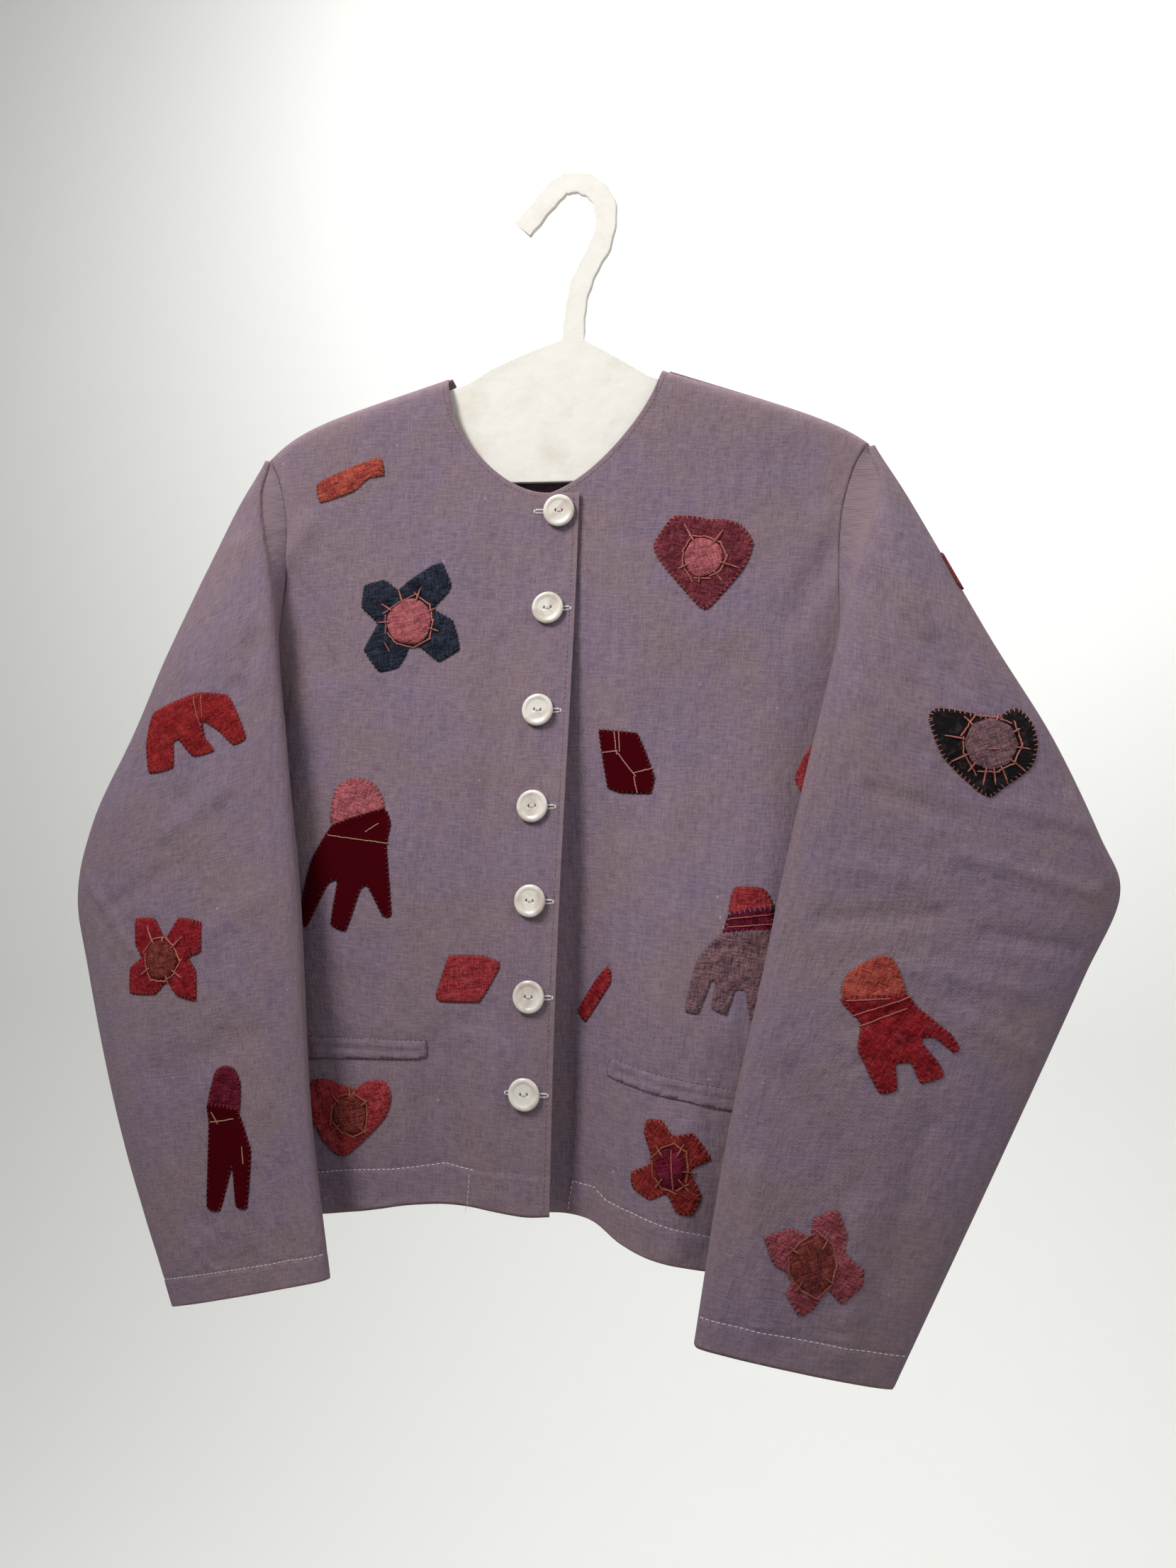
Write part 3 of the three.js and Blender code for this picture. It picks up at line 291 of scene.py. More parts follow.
# ---------------------------------------------------------------- creases
# Soft folds, listed one by one: (x, z) to (x, z), half width and height in mm, before CREASE_DEPTH. A height
# above 0 stands away from the body and one below 0 is a trough.
CREASES = {
    "front_right": [
        ((-190, -250), (-150, -330), 12, -1.4), ((-178, -330), (-165, -470), 10, 1.3),
        ((-60, -215), (-48, -400), 21, 1.0), ((-30, -300), (-36, -560), 13, -0.9),
        ((-95, -420), (-84, -640), 14, 1.2), ((-60, -560), (-54, -672), 10, -1.3),
        ((-128, -520), (-132, -690), 13, -1.1), ((-20, -560), (-24, -672), 11, 1.4),
        ((-200, -560), (-196, -690), 10, 1.5), ((-170, -215), (-205, -275), 8, 1.1),
        ((10, -222), (6, -262), 7, -0.7), ((8, -355), (5, -395), 7, -0.6), ((8, -480), (6, -520), 7, -0.6),
    ],
    "front_left": [
        ((190, -235), (158, -290), 10, -1.7), ((176, -215), (196, -262), 7, 1.4),
        ((60, -260), (52, -420), 18, 1.0), ((120, -300), (112, -440), 19, -0.9),
        ((88, -400), (84, -560), 16, 1.1), ((58, -430), (50, -640), 10, 1.2),
        ((130, -560), (128, -690), 13, -1.4), ((160, -420), (150, -560), 11, 1.1),
        ((40, -560), (34, -668), 7, 1.1), ((104, -600), (100, -690), 9, 1.2),
    ],
    "back": [
        ((-120, -190), (-60, -330), 18, -1.3), ((120, -190), (62, -330), 18, -1.2),
        ((0, -160), (4, -420), 21, 1.5), ((-150, -360), (-140, -640), 18, 1.8),
        ((-80, -420), (-90, -690), 14, -1.5), ((30, -440), (40, -690), 16, 1.4),
        ((110, -400), (120, -690), 18, -1.8), ((170, -430), (176, -690), 13, 1.5),
        ((-192, -430), (-196, -690), 11, -1.3), ((-178, -220), (-150, -330), 11, 1.4),
        ((180, -220), (150, -320), 11, 1.3),
    ],
    "sleeve_right_top": [
        ((-222, -232), (-208, -330), 7, 1.7), ((-198, -300), (-250, -420), 10, -1.3),
        ((-205, -400), (-262, -438), 7, 0.9), ((-240, -452), (-318, -496), 6, -0.9),
        ((-172, -470), (-236, -512), 7, 0.8), ((-330, -470), (-280, -520), 5, 0.9),
        ((-170, -560), (-262, -600), 10, -1.1), ((-172, -600), (-180, -700), 9, 1.3),
        ((-240, -600), (-222, -700), 10, -1.1), ((-150, -640), (-145, -715), 6, -1.1),
    ],
    "sleeve_left_top": [
        ((214, -222), (246, -300), 6, 1.9), ((205, -262), (262, -330), 8, -1.6),
        ((200, -330), (262, -372), 7, 0.9), ((210, -395), (268, -412), 6, -1.0),
        ((290, -402), (345, -416), 5, 0.9), ((196, -440), (250, -452), 6, 1.0),
        ((262, -432), (352, -456), 5, 1.1), ((182, -474), (262, -470), 6, -1.1),
        ((278, -480), (340, -490), 5, -1.2), ((230, -500), (318, -516), 6, 0.9),
        ((262, -528), (320, -556), 5, 1.0),
        ((164, -560), (214, -640), 9, -1.2), ((150, -620), (160, -720), 8, 1.4),
        ((250, -590), (232, -690), 10, -1.3), ((215, -640), (206, -735), 8, 1.1),
        ((330, -395), (358, -450), 5, 1.4),
    ],
    "sleeve_right_under": [
        ((-205, -330), (-270, -420), 10, 1.8), ((-190, -430), (-318, -470), 8, -1.9),
        ((-180, -500), (-300, -520), 8, 1.7), ((-165, -580), (-250, -640), 10, -1.3),
        ((-160, -640), (-190, -720), 9, 1.3),
    ],
    "sleeve_left_under": [
        ((205, -330), (280, -410), 10, 1.8), ((195, -430), (345, -450), 8, -1.9),
        ((180, -500), (320, -505), 8, 1.7), ((165, -580), (250, -640), 10, -1.3),
        ((150, -640), (190, -730), 9, 1.3),
    ],
}


def relief(lines, x, z):
    """How far the creases lift the cloth at a point, fading towards both ends of each."""
    lift = 0.0
    for (ax, az), (bx, bz), half, height in lines:
        dx, dz = bx - ax, bz - az
        length = math.hypot(dx, dz)
        along = ((x - ax) * dx + (z - az) * dz) / length
        if not -half < along < length + half:
            continue
        off = abs((x - ax) * dz - (z - az) * dx) / length
        if off > 2.5 * half:
            continue
        end = smooth((along + half) / (2 * half)) * smooth((length + half - along) / (2 * half))
        lift += CREASE_DEPTH * height * end * math.exp(-((off / half) ** 2))
    return lift


# Where fine crackled wrinkles gather: middle (x, z), half width and height, and depth in mm.
CRACKLED = [
    (305, -470, 55, 60, 1.5), (-285, -500, 48, 55, 0.9), (165, -700, 50, 45, 1.3), (-190, -705, 50, 30, 1.1),
    (214, -235, 26, 55, 1.0), (-205, -240, 22, 50, 0.8), (-120, -675, 60, 16, 0.9), (-45, -555, 30, 22, 0.9),
    (100, -600, 45, 40, 0.8), (205, -395, 26, 40, 0.9), (-205, -400, 26, 40, 0.9),
]


def ripple(x, z, seed):
    """Small unrest of washed cotton, in mm: broad sway, soft unevenness, and crackled places."""
    broad = noise.noise(Vector((x / 60, z / 120, seed)))
    fine = noise.noise(Vector((x / 17, z / 26, seed + 5.0)))
    lift = 1.3 * broad + 0.42 * fine
    for cx, cz, wide, high, depth in CRACKLED:
        near = 1 - math.hypot((x - cx) / wide, (z - cz) / high)
        if near > 0:
            ridge = abs(noise.noise(Vector(((x + 0.6 * z) / 24, (z - 0.3 * x) / 11, seed))))
            lift += 1.5 * depth * smooth(near * 1.6) * (0.5 - 2.2 * min(0.35, ridge))
    return lift


# ---------------------------------------------------------------- cloth walls
def spaced(length, step, fine=(), fine_step=1.3, reach=9.0):
    """Shares 0 to 1 of a length in mm, a step apart, and closer within reach of each fine place."""
    shares = [0.0]
    at = 0.0
    while at < length:
        near = min((abs(at + step / 2 - f) for f in fine), default=1e9)
        at += fine_step if near < reach else step
        shares.append(min(at, length) / length)
    return shares


def cloth(name, at, us, vs, flat_uv, wear):
    """A sheet over a grid of shares: at(u, v) is its middle surface, in jacket millimetres."""
    bm = bmesh.new()
    cols, rows = len(us) - 1, len(vs) - 1
    bmesh.ops.create_grid(bm, x_segments=cols, y_segments=rows, size=0.5)
    uv = bm.loops.layers.uv.new("UVMap")
    worn = bm.verts.layers.float.new("wear")
    flat = {}
    for vert in bm.verts:
        u = us[round((vert.co.x + 0.5) * cols)]
        v = vs[round((0.5 - vert.co.y) * rows)]
        point = at(u, v)
        vert.co = place(*point)
        vert[worn] = wear(u, v, point)
        flat[vert] = flat_uv(u, v, point)
    for face in bm.faces:
        for loop in face.loops:
            loop[uv].uv = flat[loop.vert]
    piece = object_of(bm, f"cloth_{name}")
    shell = piece.modifiers.new("cloth", "SOLIDIFY")
    shell.thickness = CLOTH * MM
    shell.offset = 0
    return piece


def between(top, bottom, left, right):
    """A flat patch of the plane stretched between four border curves that share corners."""
    corners = top(0), top(1), bottom(0), bottom(1)

    def at(u, v):
        a, b, c, d = top(u), bottom(u), left(v), right(v)
        found = []
        for k in (0, 1):
            ruled = lerp(a[k], b[k], v) + lerp(c[k], d[k], u)
            mixed = lerp(lerp(corners[0][k], corners[1][k], u), lerp(corners[2][k], corners[3][k], u), v)
            found.append(ruled - mixed)
        return found

    return at


def neck_point(side, t):
    """The neckline from a shoulder, t = 0, to its lowest point, t = 1, as x and z."""
    half, roundness = (72, 1.7) if side < 0 else (76, 1.4)
    angle = t * math.pi / 2
    x = NECK_MIDDLE + side * half * max(0.0, math.cos(angle)) ** (2 / roundness)
    return x, NECK[1] - NECK_DEPTH * math.sin(angle) ** (2 / roundness)


HEM_OVER = [
    (-222, -688), (-142, -685), (-107, -679), (-73, -672.5), (-39, -670.5), (0, -673), (LAP, -671.5),
]
HEM_UNDER = [
    (-14, -672), (25, -673), (47, -675), (66, -682), (120, -690), (180, -692), (222, -688),
]
SHOULDER_SHARE = 0.42  # of a front's top border, the rest is neckline


def edge_wear(distance, reach=7.0):
    return math.exp(-max(0.0, distance) / reach)


def turned_hem(depth, proud=0.45):
    """The turned hem stands a little proud below its stitches, with a groove along them."""
    return proud * smooth((depth + 1.5) / 3) - 0.5 * math.exp(-((depth / 1.6) ** 2))


def front_panel(side):
    under = side > 0
    name = "front_left" if under else "front_right"
    edge = -14 if under else LAP
    tip = (side * TIP[0], TIP[1])
    apex = (side * NECK[0] + NECK_SHIFT, NECK[1] - 1)
    hem = HEM_UNDER if under else HEM_OVER
    scooped = 0.8

    def top(u):
        if u < SHOULDER_SHARE:
            t = u / SHOULDER_SHARE
            x = lerp(tip[0], apex[0], t)
            return x, lerp(tip[1], apex[1], t) + shoulder_bow(x)
        t = (u - SHOULDER_SHARE) / (1 - SHOULDER_SHARE)
        if t < scooped:
            return neck_point(side, t / scooped)
        share = (t - scooped) / (1 - scooped)
        return lerp(NECK_MIDDLE, edge, share), NECK[1] - NECK_DEPTH - 2 * (t - scooped)

    def bottom(u):
        x = lerp(side * HEM_SIDE[0], edge, u)
        return x, through(hem, x)[0]

    def left(v):
        z = lerp(TIP[1], HEM_SIDE[1], v)
        return side * side_x(z), z

    def right(v):
        return edge, lerp(top(1)[1], bottom(1)[1], v)

    flat = between(top, bottom, left, right)

    def at(u, v):
        x, z = flat(u, v)
        y = front_y(x, z, under) - SEAM_HALF
        calm = smooth(v / 0.05) * smooth((1 - u) / 0.03 + 0.25)
        y -= calm * (relief(CREASES[name], x, z) + ripple(x, z, 3.0 + side))
        y -= turned_hem(hem_z(side, x) - z) + pocket_relief(name, x, z)
        y += 0.35 * math.exp(-v * 560 / 1.2)
        return x, y, z

    def wear(u, v, point):
        down = max(edge_wear(v * 550), edge_wear((1 - v) * 500, 5))
        return max(down, edge_wear((1 - u) * 236, 4), edge_wear(u * 236, 9))

    def flat_uv(u, v, point):
        return point[0] * MM, point[2] * MM

    us = spaced(240, 3.2, fine=[0, 240])
    vs = spaced(540, 3.2, fine=[0, 518, 540])
    return cloth(name, at, us, vs, flat_uv, wear)


def hem_z(side, x):
    """Height of the hem's stitch line."""
    line = HEM_STITCHES["front_left" if side > 0 else "front_right"]
    return through([(p[0], p[1]) for p in line], clamp(x, line[0][0], line[-1][0]))[0]


HEM_STITCHES = {
    "front_right": [(-222, -668), (-148, -659), (-117, -654), (-88, -651), (-55, -645), (-37, -647)],
    "front_left": [(29, -652), (44, -653), (55, -659), (76, -661), (105, -667), (123, -670), (222, -672)],
}
# Each welt pocket: the two ends of its slit.
POCKETS = {
    "front_right": ((-154, -575), (-69, -573)),
    "front_left": ((56, -576), (139, -588)),
}


def pocket_relief(name, x, z):
    """A shallow trough where the slit of the welt pocket gives."""
    (ax, az), (bx, bz) = POCKETS[name]
    if not ax - 6 < x < bx + 6:
        return 0.0
    t = (x - ax) / (bx - ax)
    off = z - lerp(az, bz, t)
    return -0.6 * math.exp(-((off / 9) ** 2)) * smooth((x - ax + 6) / 8) * smooth((bx + 6 - x) / 8)


def back_panel():
    share = 0.32

    def top(u):
        side = -1 if u < 0.5 else 1
        t = min(u, 1 - u) / share
        if t < 1:
            x = side * lerp(TIP[0], NECK[0], t)
            return x, shoulder_line(x)
        w = (u - share) / (1 - 2 * share)
        scoop = max(0.0, math.sin(w * math.pi)) ** 0.6
        return -NECK[0] * math.cos(w * math.pi), NECK[1] - BACK_NECK_DEPTH * scoop

    def bottom(u):
        return lerp(-HEM_SIDE[0], HEM_SIDE[0], u), HEM_SIDE[1] + 4 * math.sin(u * math.pi)

    def border(side):
        def at(v):
            z = lerp(TIP[1], HEM_SIDE[1], v)
            return side * side_x(z), z

        return at

    flat = between(top, bottom, border(-1), border(1))

    def at(u, v):
        x, z = flat(u, v)
        calm = smooth(v / 0.05)
        y = back_y(x, z) + SEAM_HALF + calm * (relief(CREASES["back"], x, z) + ripple(x, z, 9.0))
        return x, y + turned_hem(HEM_SIDE[1] + 21 + 4 * math.sin(u * math.pi) - z), z

    def wear(u, v, point):
        return max(edge_wear(v * 550), edge_wear((1 - v) * 500, 5), edge_wear(min(u, 1 - u) * 440, 9))

    def flat_uv(u, v, point):
        return point[0] * MM + 0.7, point[2] * MM

    us = spaced(444, 3.6, fine=[0, 444])
    vs = spaced(540, 3.6, fine=[0, 519, 540])
    return cloth("back", at, us, vs, flat_uv, wear)


# ---------------------------------------------------------------- sleeves
# Rows of (s, front fold x, y, z, outer edge x, y, z) from cap to cuff, with x counted outwards.
SLEEVE_LINES = {
    -1: [
        (0.0, 205, -4.6, -176, 207.5, -2, -174.5), (0.06, 208, -12, -203, 229, -8, -215),
        (0.19, 190, -27, -274, 274, -11, -312), (0.28, 181, -35, -323, 299, -9, -368),
        (0.37, 171, -42, -375, 329, -6, -427), (0.47, 162, -48, -429, 342, -4, -480),
        (0.57, 153, -55, -487, 331, -8, -530), (0.78, 138, -67, -610, 292, -26, -640),
        (1.0, 117, -80, -713, 240, -45, -752),
    ],
    1: [
        (0.0, 205, -4.6, -176, 207.5, -2, -174.5), (0.06, 213, -14, -205, 231, -8, -211),
        (0.19, 196, -32, -278, 284, -11, -302), (0.28, 186, -41, -328, 321, -8, -361),
        (0.37, 175, -50, -382, 350, -6, -420), (0.47, 164, -57, -440, 363, -4, -456),
        (0.57, 153, -65, -505, 343, -11, -505), (0.78, 134, -80, -612, 292, -33, -622),
        (1.0, 120, -95, -726, 234, -50, -755),
    ],
}
SLEEVE_LENGTH = 590.0
SEAM_LAP = 1.25  # a sleeve's border lies this far outside the panel it is set into
FOLD_W = RING_START / (2 * math.pi)  # share of the ring at its inner fold
EDGE_W = FOLD_W + 0.5  # and at its outer edge
HINDARM_TOP = 0.12  # share of the sleeve's length where the hindarm seam starts
CUFF_HEM = 19.0


@lru_cache(maxsize=None)
def ring_frame(side, s):
    fx, fy, fz, ox, oy, oz = through(SLEEVE_LINES[side], s)
    fold, edge = Vector((fx, fy, fz)), Vector((ox, oy, oz))
    half = (edge - fold) / 2
    outward = Vector((half.y, -half.x, 0)).normalized()
    full = smooth(s / 0.3)
    front = (3 + 13 * full) * (1 - 0.35 * smooth((s - 0.6) / 0.4))
    return (fold + edge) / 2, half, outward, front, 2 + 8 * full


def free_ring(side, s, w):
    middle, half, outward, front, behind = ring_frame(side, s)
    angle = 2 * math.pi * w - RING_START
    rise = math.sin(angle)
    bulge = (front if rise > 0 else -behind) * abs(rise) ** 0.75
    return middle - half * math.cos(angle) + outward * bulge


@lru_cache(maxsize=None)
def inner_seam(side, s, front):
    """Where a sleeve's border lies: on the armhole, and below it joined as one inner seam."""
    share = min(1.0, s / ARMHOLE_END)
    z = lerp(TIP[1], UNDERARM[1], share)
    x = side_x(z)
    y = front_y(side * x, z, side > 0) - SEAM_LAP if front else back_y(side * x, z) + SEAM_LAP
    underarm = Vector((UNDERARM[0] + 4, side_y(UNDERARM[1]) - 7, UNDERARM[1]))
    seam = Vector((x + 0.4, y, z)).lerp(underarm, smooth((share - 0.8) / 0.2))
    if s <= ARMHOLE_END:
        return seam
    pull = underarm - free_ring(side, ARMHOLE_END, 0)
    return free_ring(side, s, 0) + pull * (1 - smooth((s - ARMHOLE_END) / 0.09))


@lru_cache(maxsize=None)
def seam_pulls(side, s):
    start = free_ring(side, s, 0)
    return inner_seam(side, s, True) - start, inner_seam(side, s, False) - start


def sleeve_point(side, s, w):
    front, back = seam_pulls(side, s)
    point = free_ring(side, s, w)
    point = point + front * (1 - smooth(w / (FOLD_W + 0.005)))
    point = point + back * max(0.0, (w - EDGE_W) / (1 - EDGE_W)) ** 1.5
    return side * point.x, point.y, point.z


@lru_cache(maxsize=None)
def hindarm(s):
    """Share of the ring where the hindarm seam runs."""
    if s <= HINDARM_TOP:
        return 1.0
    return lerp(0.96, 0.545, smooth((s - HINDARM_TOP) / 0.45) ** 0.8)


@lru_cache(maxsize=None)
def seam_half(side, s, slant=0.0):
    """Half the gap at a sleeve's seams, as a share of the ring."""
    row = through(SLEEVE_LINES[side], s)
    return (0.15 + slant * (1 - smooth((s - 0.45) / 0.1))) / (2.2 * (row[3] - row[0]) + 12)


@lru_cache(maxsize=None)
def girth(side, s):
    """About how far it is round a sleeve, in mm."""
    return 2.2 * (ring_frame(side, s)[1].length * 2) + 12


def sleeve_panel(side, top):
    """The top sleeve runs from the front armhole over the outer edge to the hindarm seam, the
    under sleeve from there to the back armhole."""
    which = "right" if side < 0 else "left"
    name = f"sleeve_{which}_{'top' if top else 'under'}"

    def ends(s):
        if top:
            gap = seam_half(side, s, 0.4) if s > HINDARM_TOP else 0.0
            return seam_half(side, s), hindarm(s) - gap
        return hindarm(max(s, HINDARM_TOP + 0.001)) + seam_half(side, s, 0.4), 1 - seam_half(side, s)

    first = 0.0 if top else HINDARM_TOP + 0.002

    def at(u, v):
        s = lerp(first, 1.0, v)
        start, end = ends(s)
        w = lerp(start, end, u)
        x, y, z = sleeve_point(side, s, w)
        angle = 2 * math.pi * w - RING_START
        rise = math.sin(angle)
        away = 1 if rise > 0 else -1
        calm = smooth(s / 0.08) * smooth(abs(rise) / 0.3) * smooth(u / 0.04) * smooth((1 - u) / 0.04)
        lift = relief(CREASES[name], x, z) + 1.1 * ripple(x, z + away * 300, 20.0 + side)
        seam_dip = 0.0
        if s < ARMHOLE_END and top:
            seam_dip = 0.5 * math.exp(-u * (end - start) * girth(side, s) / 2.2)
        turned = turned_hem(CUFF_HEM - (1 - s) * SLEEVE_LENGTH, 0.4)
        y -= away * (calm * lift + smooth(abs(rise) / 0.25) * turned) - seam_dip
        return x, y, z

    def wear(u, v, point):
        s = lerp(first, 1.0, v)
        start, end = ends(s)
        w = lerp(start, end, u)
        around = girth(side, s)
        folds = max(edge_wear(abs(w - FOLD_W) * around, 5), edge_wear(abs(w - EDGE_W) * around, 9))
        return max(folds, edge_wear((1 - v) * SLEEVE_LENGTH, 4), edge_wear(v * 500, 6))

    def flat_uv(u, v, point):
        s = lerp(first, 1.0, v)
        start, end = ends(s)
        w = lerp(start, end, u)
        return (w - 0.25) * girth(side, s) * MM + 2 + side * 0.5, -s * SLEEVE_LENGTH * MM

    around = 330 if top else 170
    us = spaced(around, 3.3, fine=[0, around * FOLD_W / 0.56] if top else [0, around], fine_step=1.6)
    fine = [0, HINDARM_TOP * SLEEVE_LENGTH, SLEEVE_LENGTH - CUFF_HEM, SLEEVE_LENGTH]
    vs = spaced(SLEEVE_LENGTH, 3.4, fine=fine)
    return cloth(name, at, us, vs, flat_uv, wear)


# ---------------------------------------------------------------- laying things on the cloth
class Skin:
    """The frontmost surface of some finished pieces, asked from in front."""

    def __init__(self, piece, below=()):
        graph = bpy.context.evaluated_depsgraph_get()
        self.trees = [*below, BVHTree.FromObject(piece, graph)]

    def with_piece(self, piece):
        return Skin(piece, self.trees)

    def hit(self, x, z):
        """(y in mm, outward normal) at a place of the jacket's frame."""
        best = None
        origin = place(x, -400, z)
        for tree in self.trees:
            point, normal, _, _ = tree.ray_cast(origin, Vector((0, 1, 0)))
            if point is not None and (best is None or point.y < best[0]):
                best = (point.y, normal)
        if best is None:
            found = min((tree.find_nearest(origin) for tree in self.trees), key=lambda f: f[3])
            best = (found[0].y, found[1])
        normal = best[1] if best[1].y < 0 else -best[1]
        return best[0] / MM, normal

    def lay(self, x, z, above=0.0):
        y, normal = self.hit(x, z)
        return place(x, y, z) + normal * above * MM


def rounded_outline(points, step=2.0, soft=0.5):
    """A closed outline through given corners, resampled, with softness 0 straight to 1 curved."""
    count = len(points)
    made = []
    for k in range(count):
        a, b, c, d = (points[(k + i) % count] for i in (-1, 0, 1, 2))
        length = math.hypot(c[0] - b[0], c[1] - b[1])
        parts = max(1, round(length / step))
        for i in range(parts):
            t = i / parts
            point = []
            for n in (0, 1):
                slope_in, slope_out = (c[n] - a[n]) / 2, (d[n] - b[n]) / 2
                bent = curve(b[n], c[n], slope_in, slope_out, t)
                point.append(lerp(lerp(b[n], c[n], t), bent, soft))
            made.append(tuple(point))
    return made


def shoelace(outline):
    total = 0.0
    for (ax, az), (bx, bz) in zip(outline, outline[1:] + outline[:1]):
        total += ax * bz - bx * az
    return total / 2


def edge_distance(outline, x, z):
    best = 1e9
    for (ax, az), (bx, bz) in zip(outline, outline[1:] + outline[:1]):
        dx, dz = bx - ax, bz - az
        t = clamp(((x - ax) * dx + (z - az) * dz) / max(1e-9, dx * dx + dz * dz))
        best = min(best, math.hypot(x - ax - t * dx, z - az - t * dz))
    return best


def sliced(outline, step):
    """A flat mesh of the outline in the XZ plane, cut to a net by planes a step apart."""
    bm = bmesh.new()
    bm.faces.new([bm.verts.new((x, 0, z)) for x, z in outline])
    for axis, direction in ((0, Vector((1, 0, 0))), (1, Vector((0, 0, 1)))):
        low = min(p[axis] for p in outline)
        high = max(p[axis] for p in outline)
        parts = max(2, round((high - low) / step))
        for k in range(1, parts):
            geometry = bm.verts[:] + bm.edges[:] + bm.faces[:]
            at = direction * lerp(low, high, k / parts)
            bmesh.ops.bisect_plane(bm, geom=geometry, plane_co=at, plane_no=direction, dist=1e-5)
    bmesh.ops.remove_doubles(bm, verts=bm.verts, dist=0.02)
    return bm


def patch_piece(name, outline, skin, grain, folds=(), puff=0.55, pucker=0.26):
    """A thin sewn-on cloth that follows the cloth below it, drawn down at its edge."""
    bm = sliced(outline, 1.9)
    turn = math.radians(grain)
    uv = bm.loops.layers.uv.new("UVMap")
    flat = {vert: (vert.co.x, vert.co.z) for vert in bm.verts}
    seed = sum(ord(letter) for letter in name) % 40
    for vert in bm.verts:
        x, z = flat[vert]
        y, normal = skin.hit(x, z)
        inside = edge_distance(outline, x, z)
        swell = puff * smooth(inside / 3.5) + relief(folds, x, z)
        swell += pucker * noise.noise(Vector((x / 3.6, z / 3.6, seed))) * smooth(inside / 2)
        swell += 2 * pucker * noise.noise(Vector((x / 9, z / 6, seed))) * smooth(inside / 4)
        lift = CLEAR + PATCH / 2 + max(0.0, swell)
        vert.co = place(x, y, z) + Vector((0, -lift * MM / max(0.45, -normal.y), 0))
    for face in bm.faces:
        for loop in face.loops:
            x, z = flat[loop.vert]
            loop[uv].uv = (
                (x * math.cos(turn) + z * math.sin(turn)) * MM,
                (z * math.cos(turn) - x * math.sin(turn)) * MM,
            )
    if sum(face.normal.y * face.calc_area() for face in bm.faces) > 0:
        bmesh.ops.reverse_faces(bm, faces=bm.faces)
    piece = object_of(bm, name)
    shell = piece.modifiers.new("cloth", "SOLIDIFY")
    shell.thickness = PATCH * MM
    shell.offset = 0
    return piece


# ---------------------------------------------------------------- hand stitches
def stitch_template():
    """One stitch along +X, 1 long, arched towards +Z: a thin six-sided thread."""
    bm = bmesh.new()
    bmesh.ops.create_circle(bm, cap_ends=True, segments=6, radius=1)
    bmesh.ops.rotate(bm, verts=bm.verts, cent=(0, 0, 0), matrix=Matrix.Rotation(math.pi / 2, 3, "Y"))
    faces = bm.faces[:]
    for _ in range(4):
        grown = bmesh.ops.extrude_face_region(bm, geom=faces)["geom"]
        verts = [g for g in grown if isinstance(g, bmesh.types.BMVert)]
        bmesh.ops.translate(bm, verts=verts, vec=(0.25, 0, 0))
        faces = [g for g in grown if isinstance(g, bmesh.types.BMFace)]
    data = bpy.data.meshes.new("stitch")
    bmesh.ops.recalc_face_normals(bm, faces=bm.faces)
    bm.to_mesh(data)
    bm.free()
    return data


TEMPLATE = stitch_template()


class Thread:
    """All the stitches of one thread on one piece, as one mesh."""

    def __init__(self, name, radius):
        self.bm = bmesh.new()
        self.name = name
        self.radius = radius * MM

    def stitch(self, start, end, normal, arch):
        """A stitch from start to end that stands arch mm above the cloth in its middle."""
        along = end - start
        length = along.length
        if length < 1e-6:
            return
        along.normalize()
        side = normal.cross(along).normalized()
        up = along.cross(side)
        copy = TEMPLATE.copy()
        for vert in copy.vertices:
            t = vert.co.x
            bow = max(0.0, math.sin(math.pi * t))
            rise = arch * MM * bow**0.6
            thin = 0.55 + 0.45 * bow**0.5
            radius = self.radius * thin
            offset = side * (vert.co.y * radius) + up * (vert.co.z * radius + rise)
            vert.co = start + along * (t * length) + offset
        self.bm.from_mesh(copy)
        bpy.data.meshes.remove(copy)

    def sew(self, a, b, skin, arch, above=(0.1, 0.0), at=None):
        """A stitch from one place of the cloth to another, upright on the cloth between them."""
        _, normal = skin.hit(*(at or ((a[0] + b[0]) / 2, (a[1] + b[1]) / 2)))
        self.stitch(skin.lay(*a, above[0]), skin.lay(*b, above[1]), normal, arch)

    def whip(self, outline, skin, pitch=3.2, inside=2.1, outside=0.8, slant=0.6):
        """Slanted stitches over the edge of a patch, all the way round."""
        turn = 1 if shoelace(outline) > 0 else -1
        for (x, z), (tx, tz) in walk(outline + outline[:1], pitch):
            nx, nz = -tz * turn, tx * turn  # towards the inside
            jitter = rng.uniform(-0.5, 0.5)
            reach = inside * rng.uniform(0.65, 1.15)
            lean = slant + jitter * 0.6
            a = (x + nx * reach + tx * lean, z + nz * reach + tz * lean)
            self.sew(a, (x - nx * outside, z - nz * outside), skin, 0.28, (0.05, 0.0), (x, z))

    def run(self, path, skin, length=2.4, gap=1.0, arch=0.3, above=0.0, jitter=0.0):
        """A line of stitches along a path."""
        for (x, z), (tx, tz) in walk(path, length + gap):
            off = rng.uniform(-jitter, jitter)
            ax, az = x - tz * off, z + tx * off
            b = (ax + tx * length, az + tz * length)
            self.sew((ax, az), b, skin, arch, (above, above))

    def laid(self, path, skin, wander=0.25):
        """Stem stitch: short overlapping stitches that read as one laid thread."""
        self.run(path, skin, length=3.0, gap=-0.9, arch=0.22, above=0.1, jitter=wander)

    def spike(self, x, z, degrees, start, reach, skin):
        """One straight stitch that points away from a middle."""
        turn = math.radians(degrees)
        a = (x + start * math.cos(turn), z + start * math.sin(turn))
        b = (x + reach * math.cos(turn), z + reach * math.sin(turn))
        self.sew(a, b, skin, 0.5, (0.15, 0.1))

    def done(self, material, slot):
        """Makes the stitches one object of a thread's material. The slot, of what it holds, is not used."""
        keep(object_of(self.bm, self.name), slot, THREADS[material])


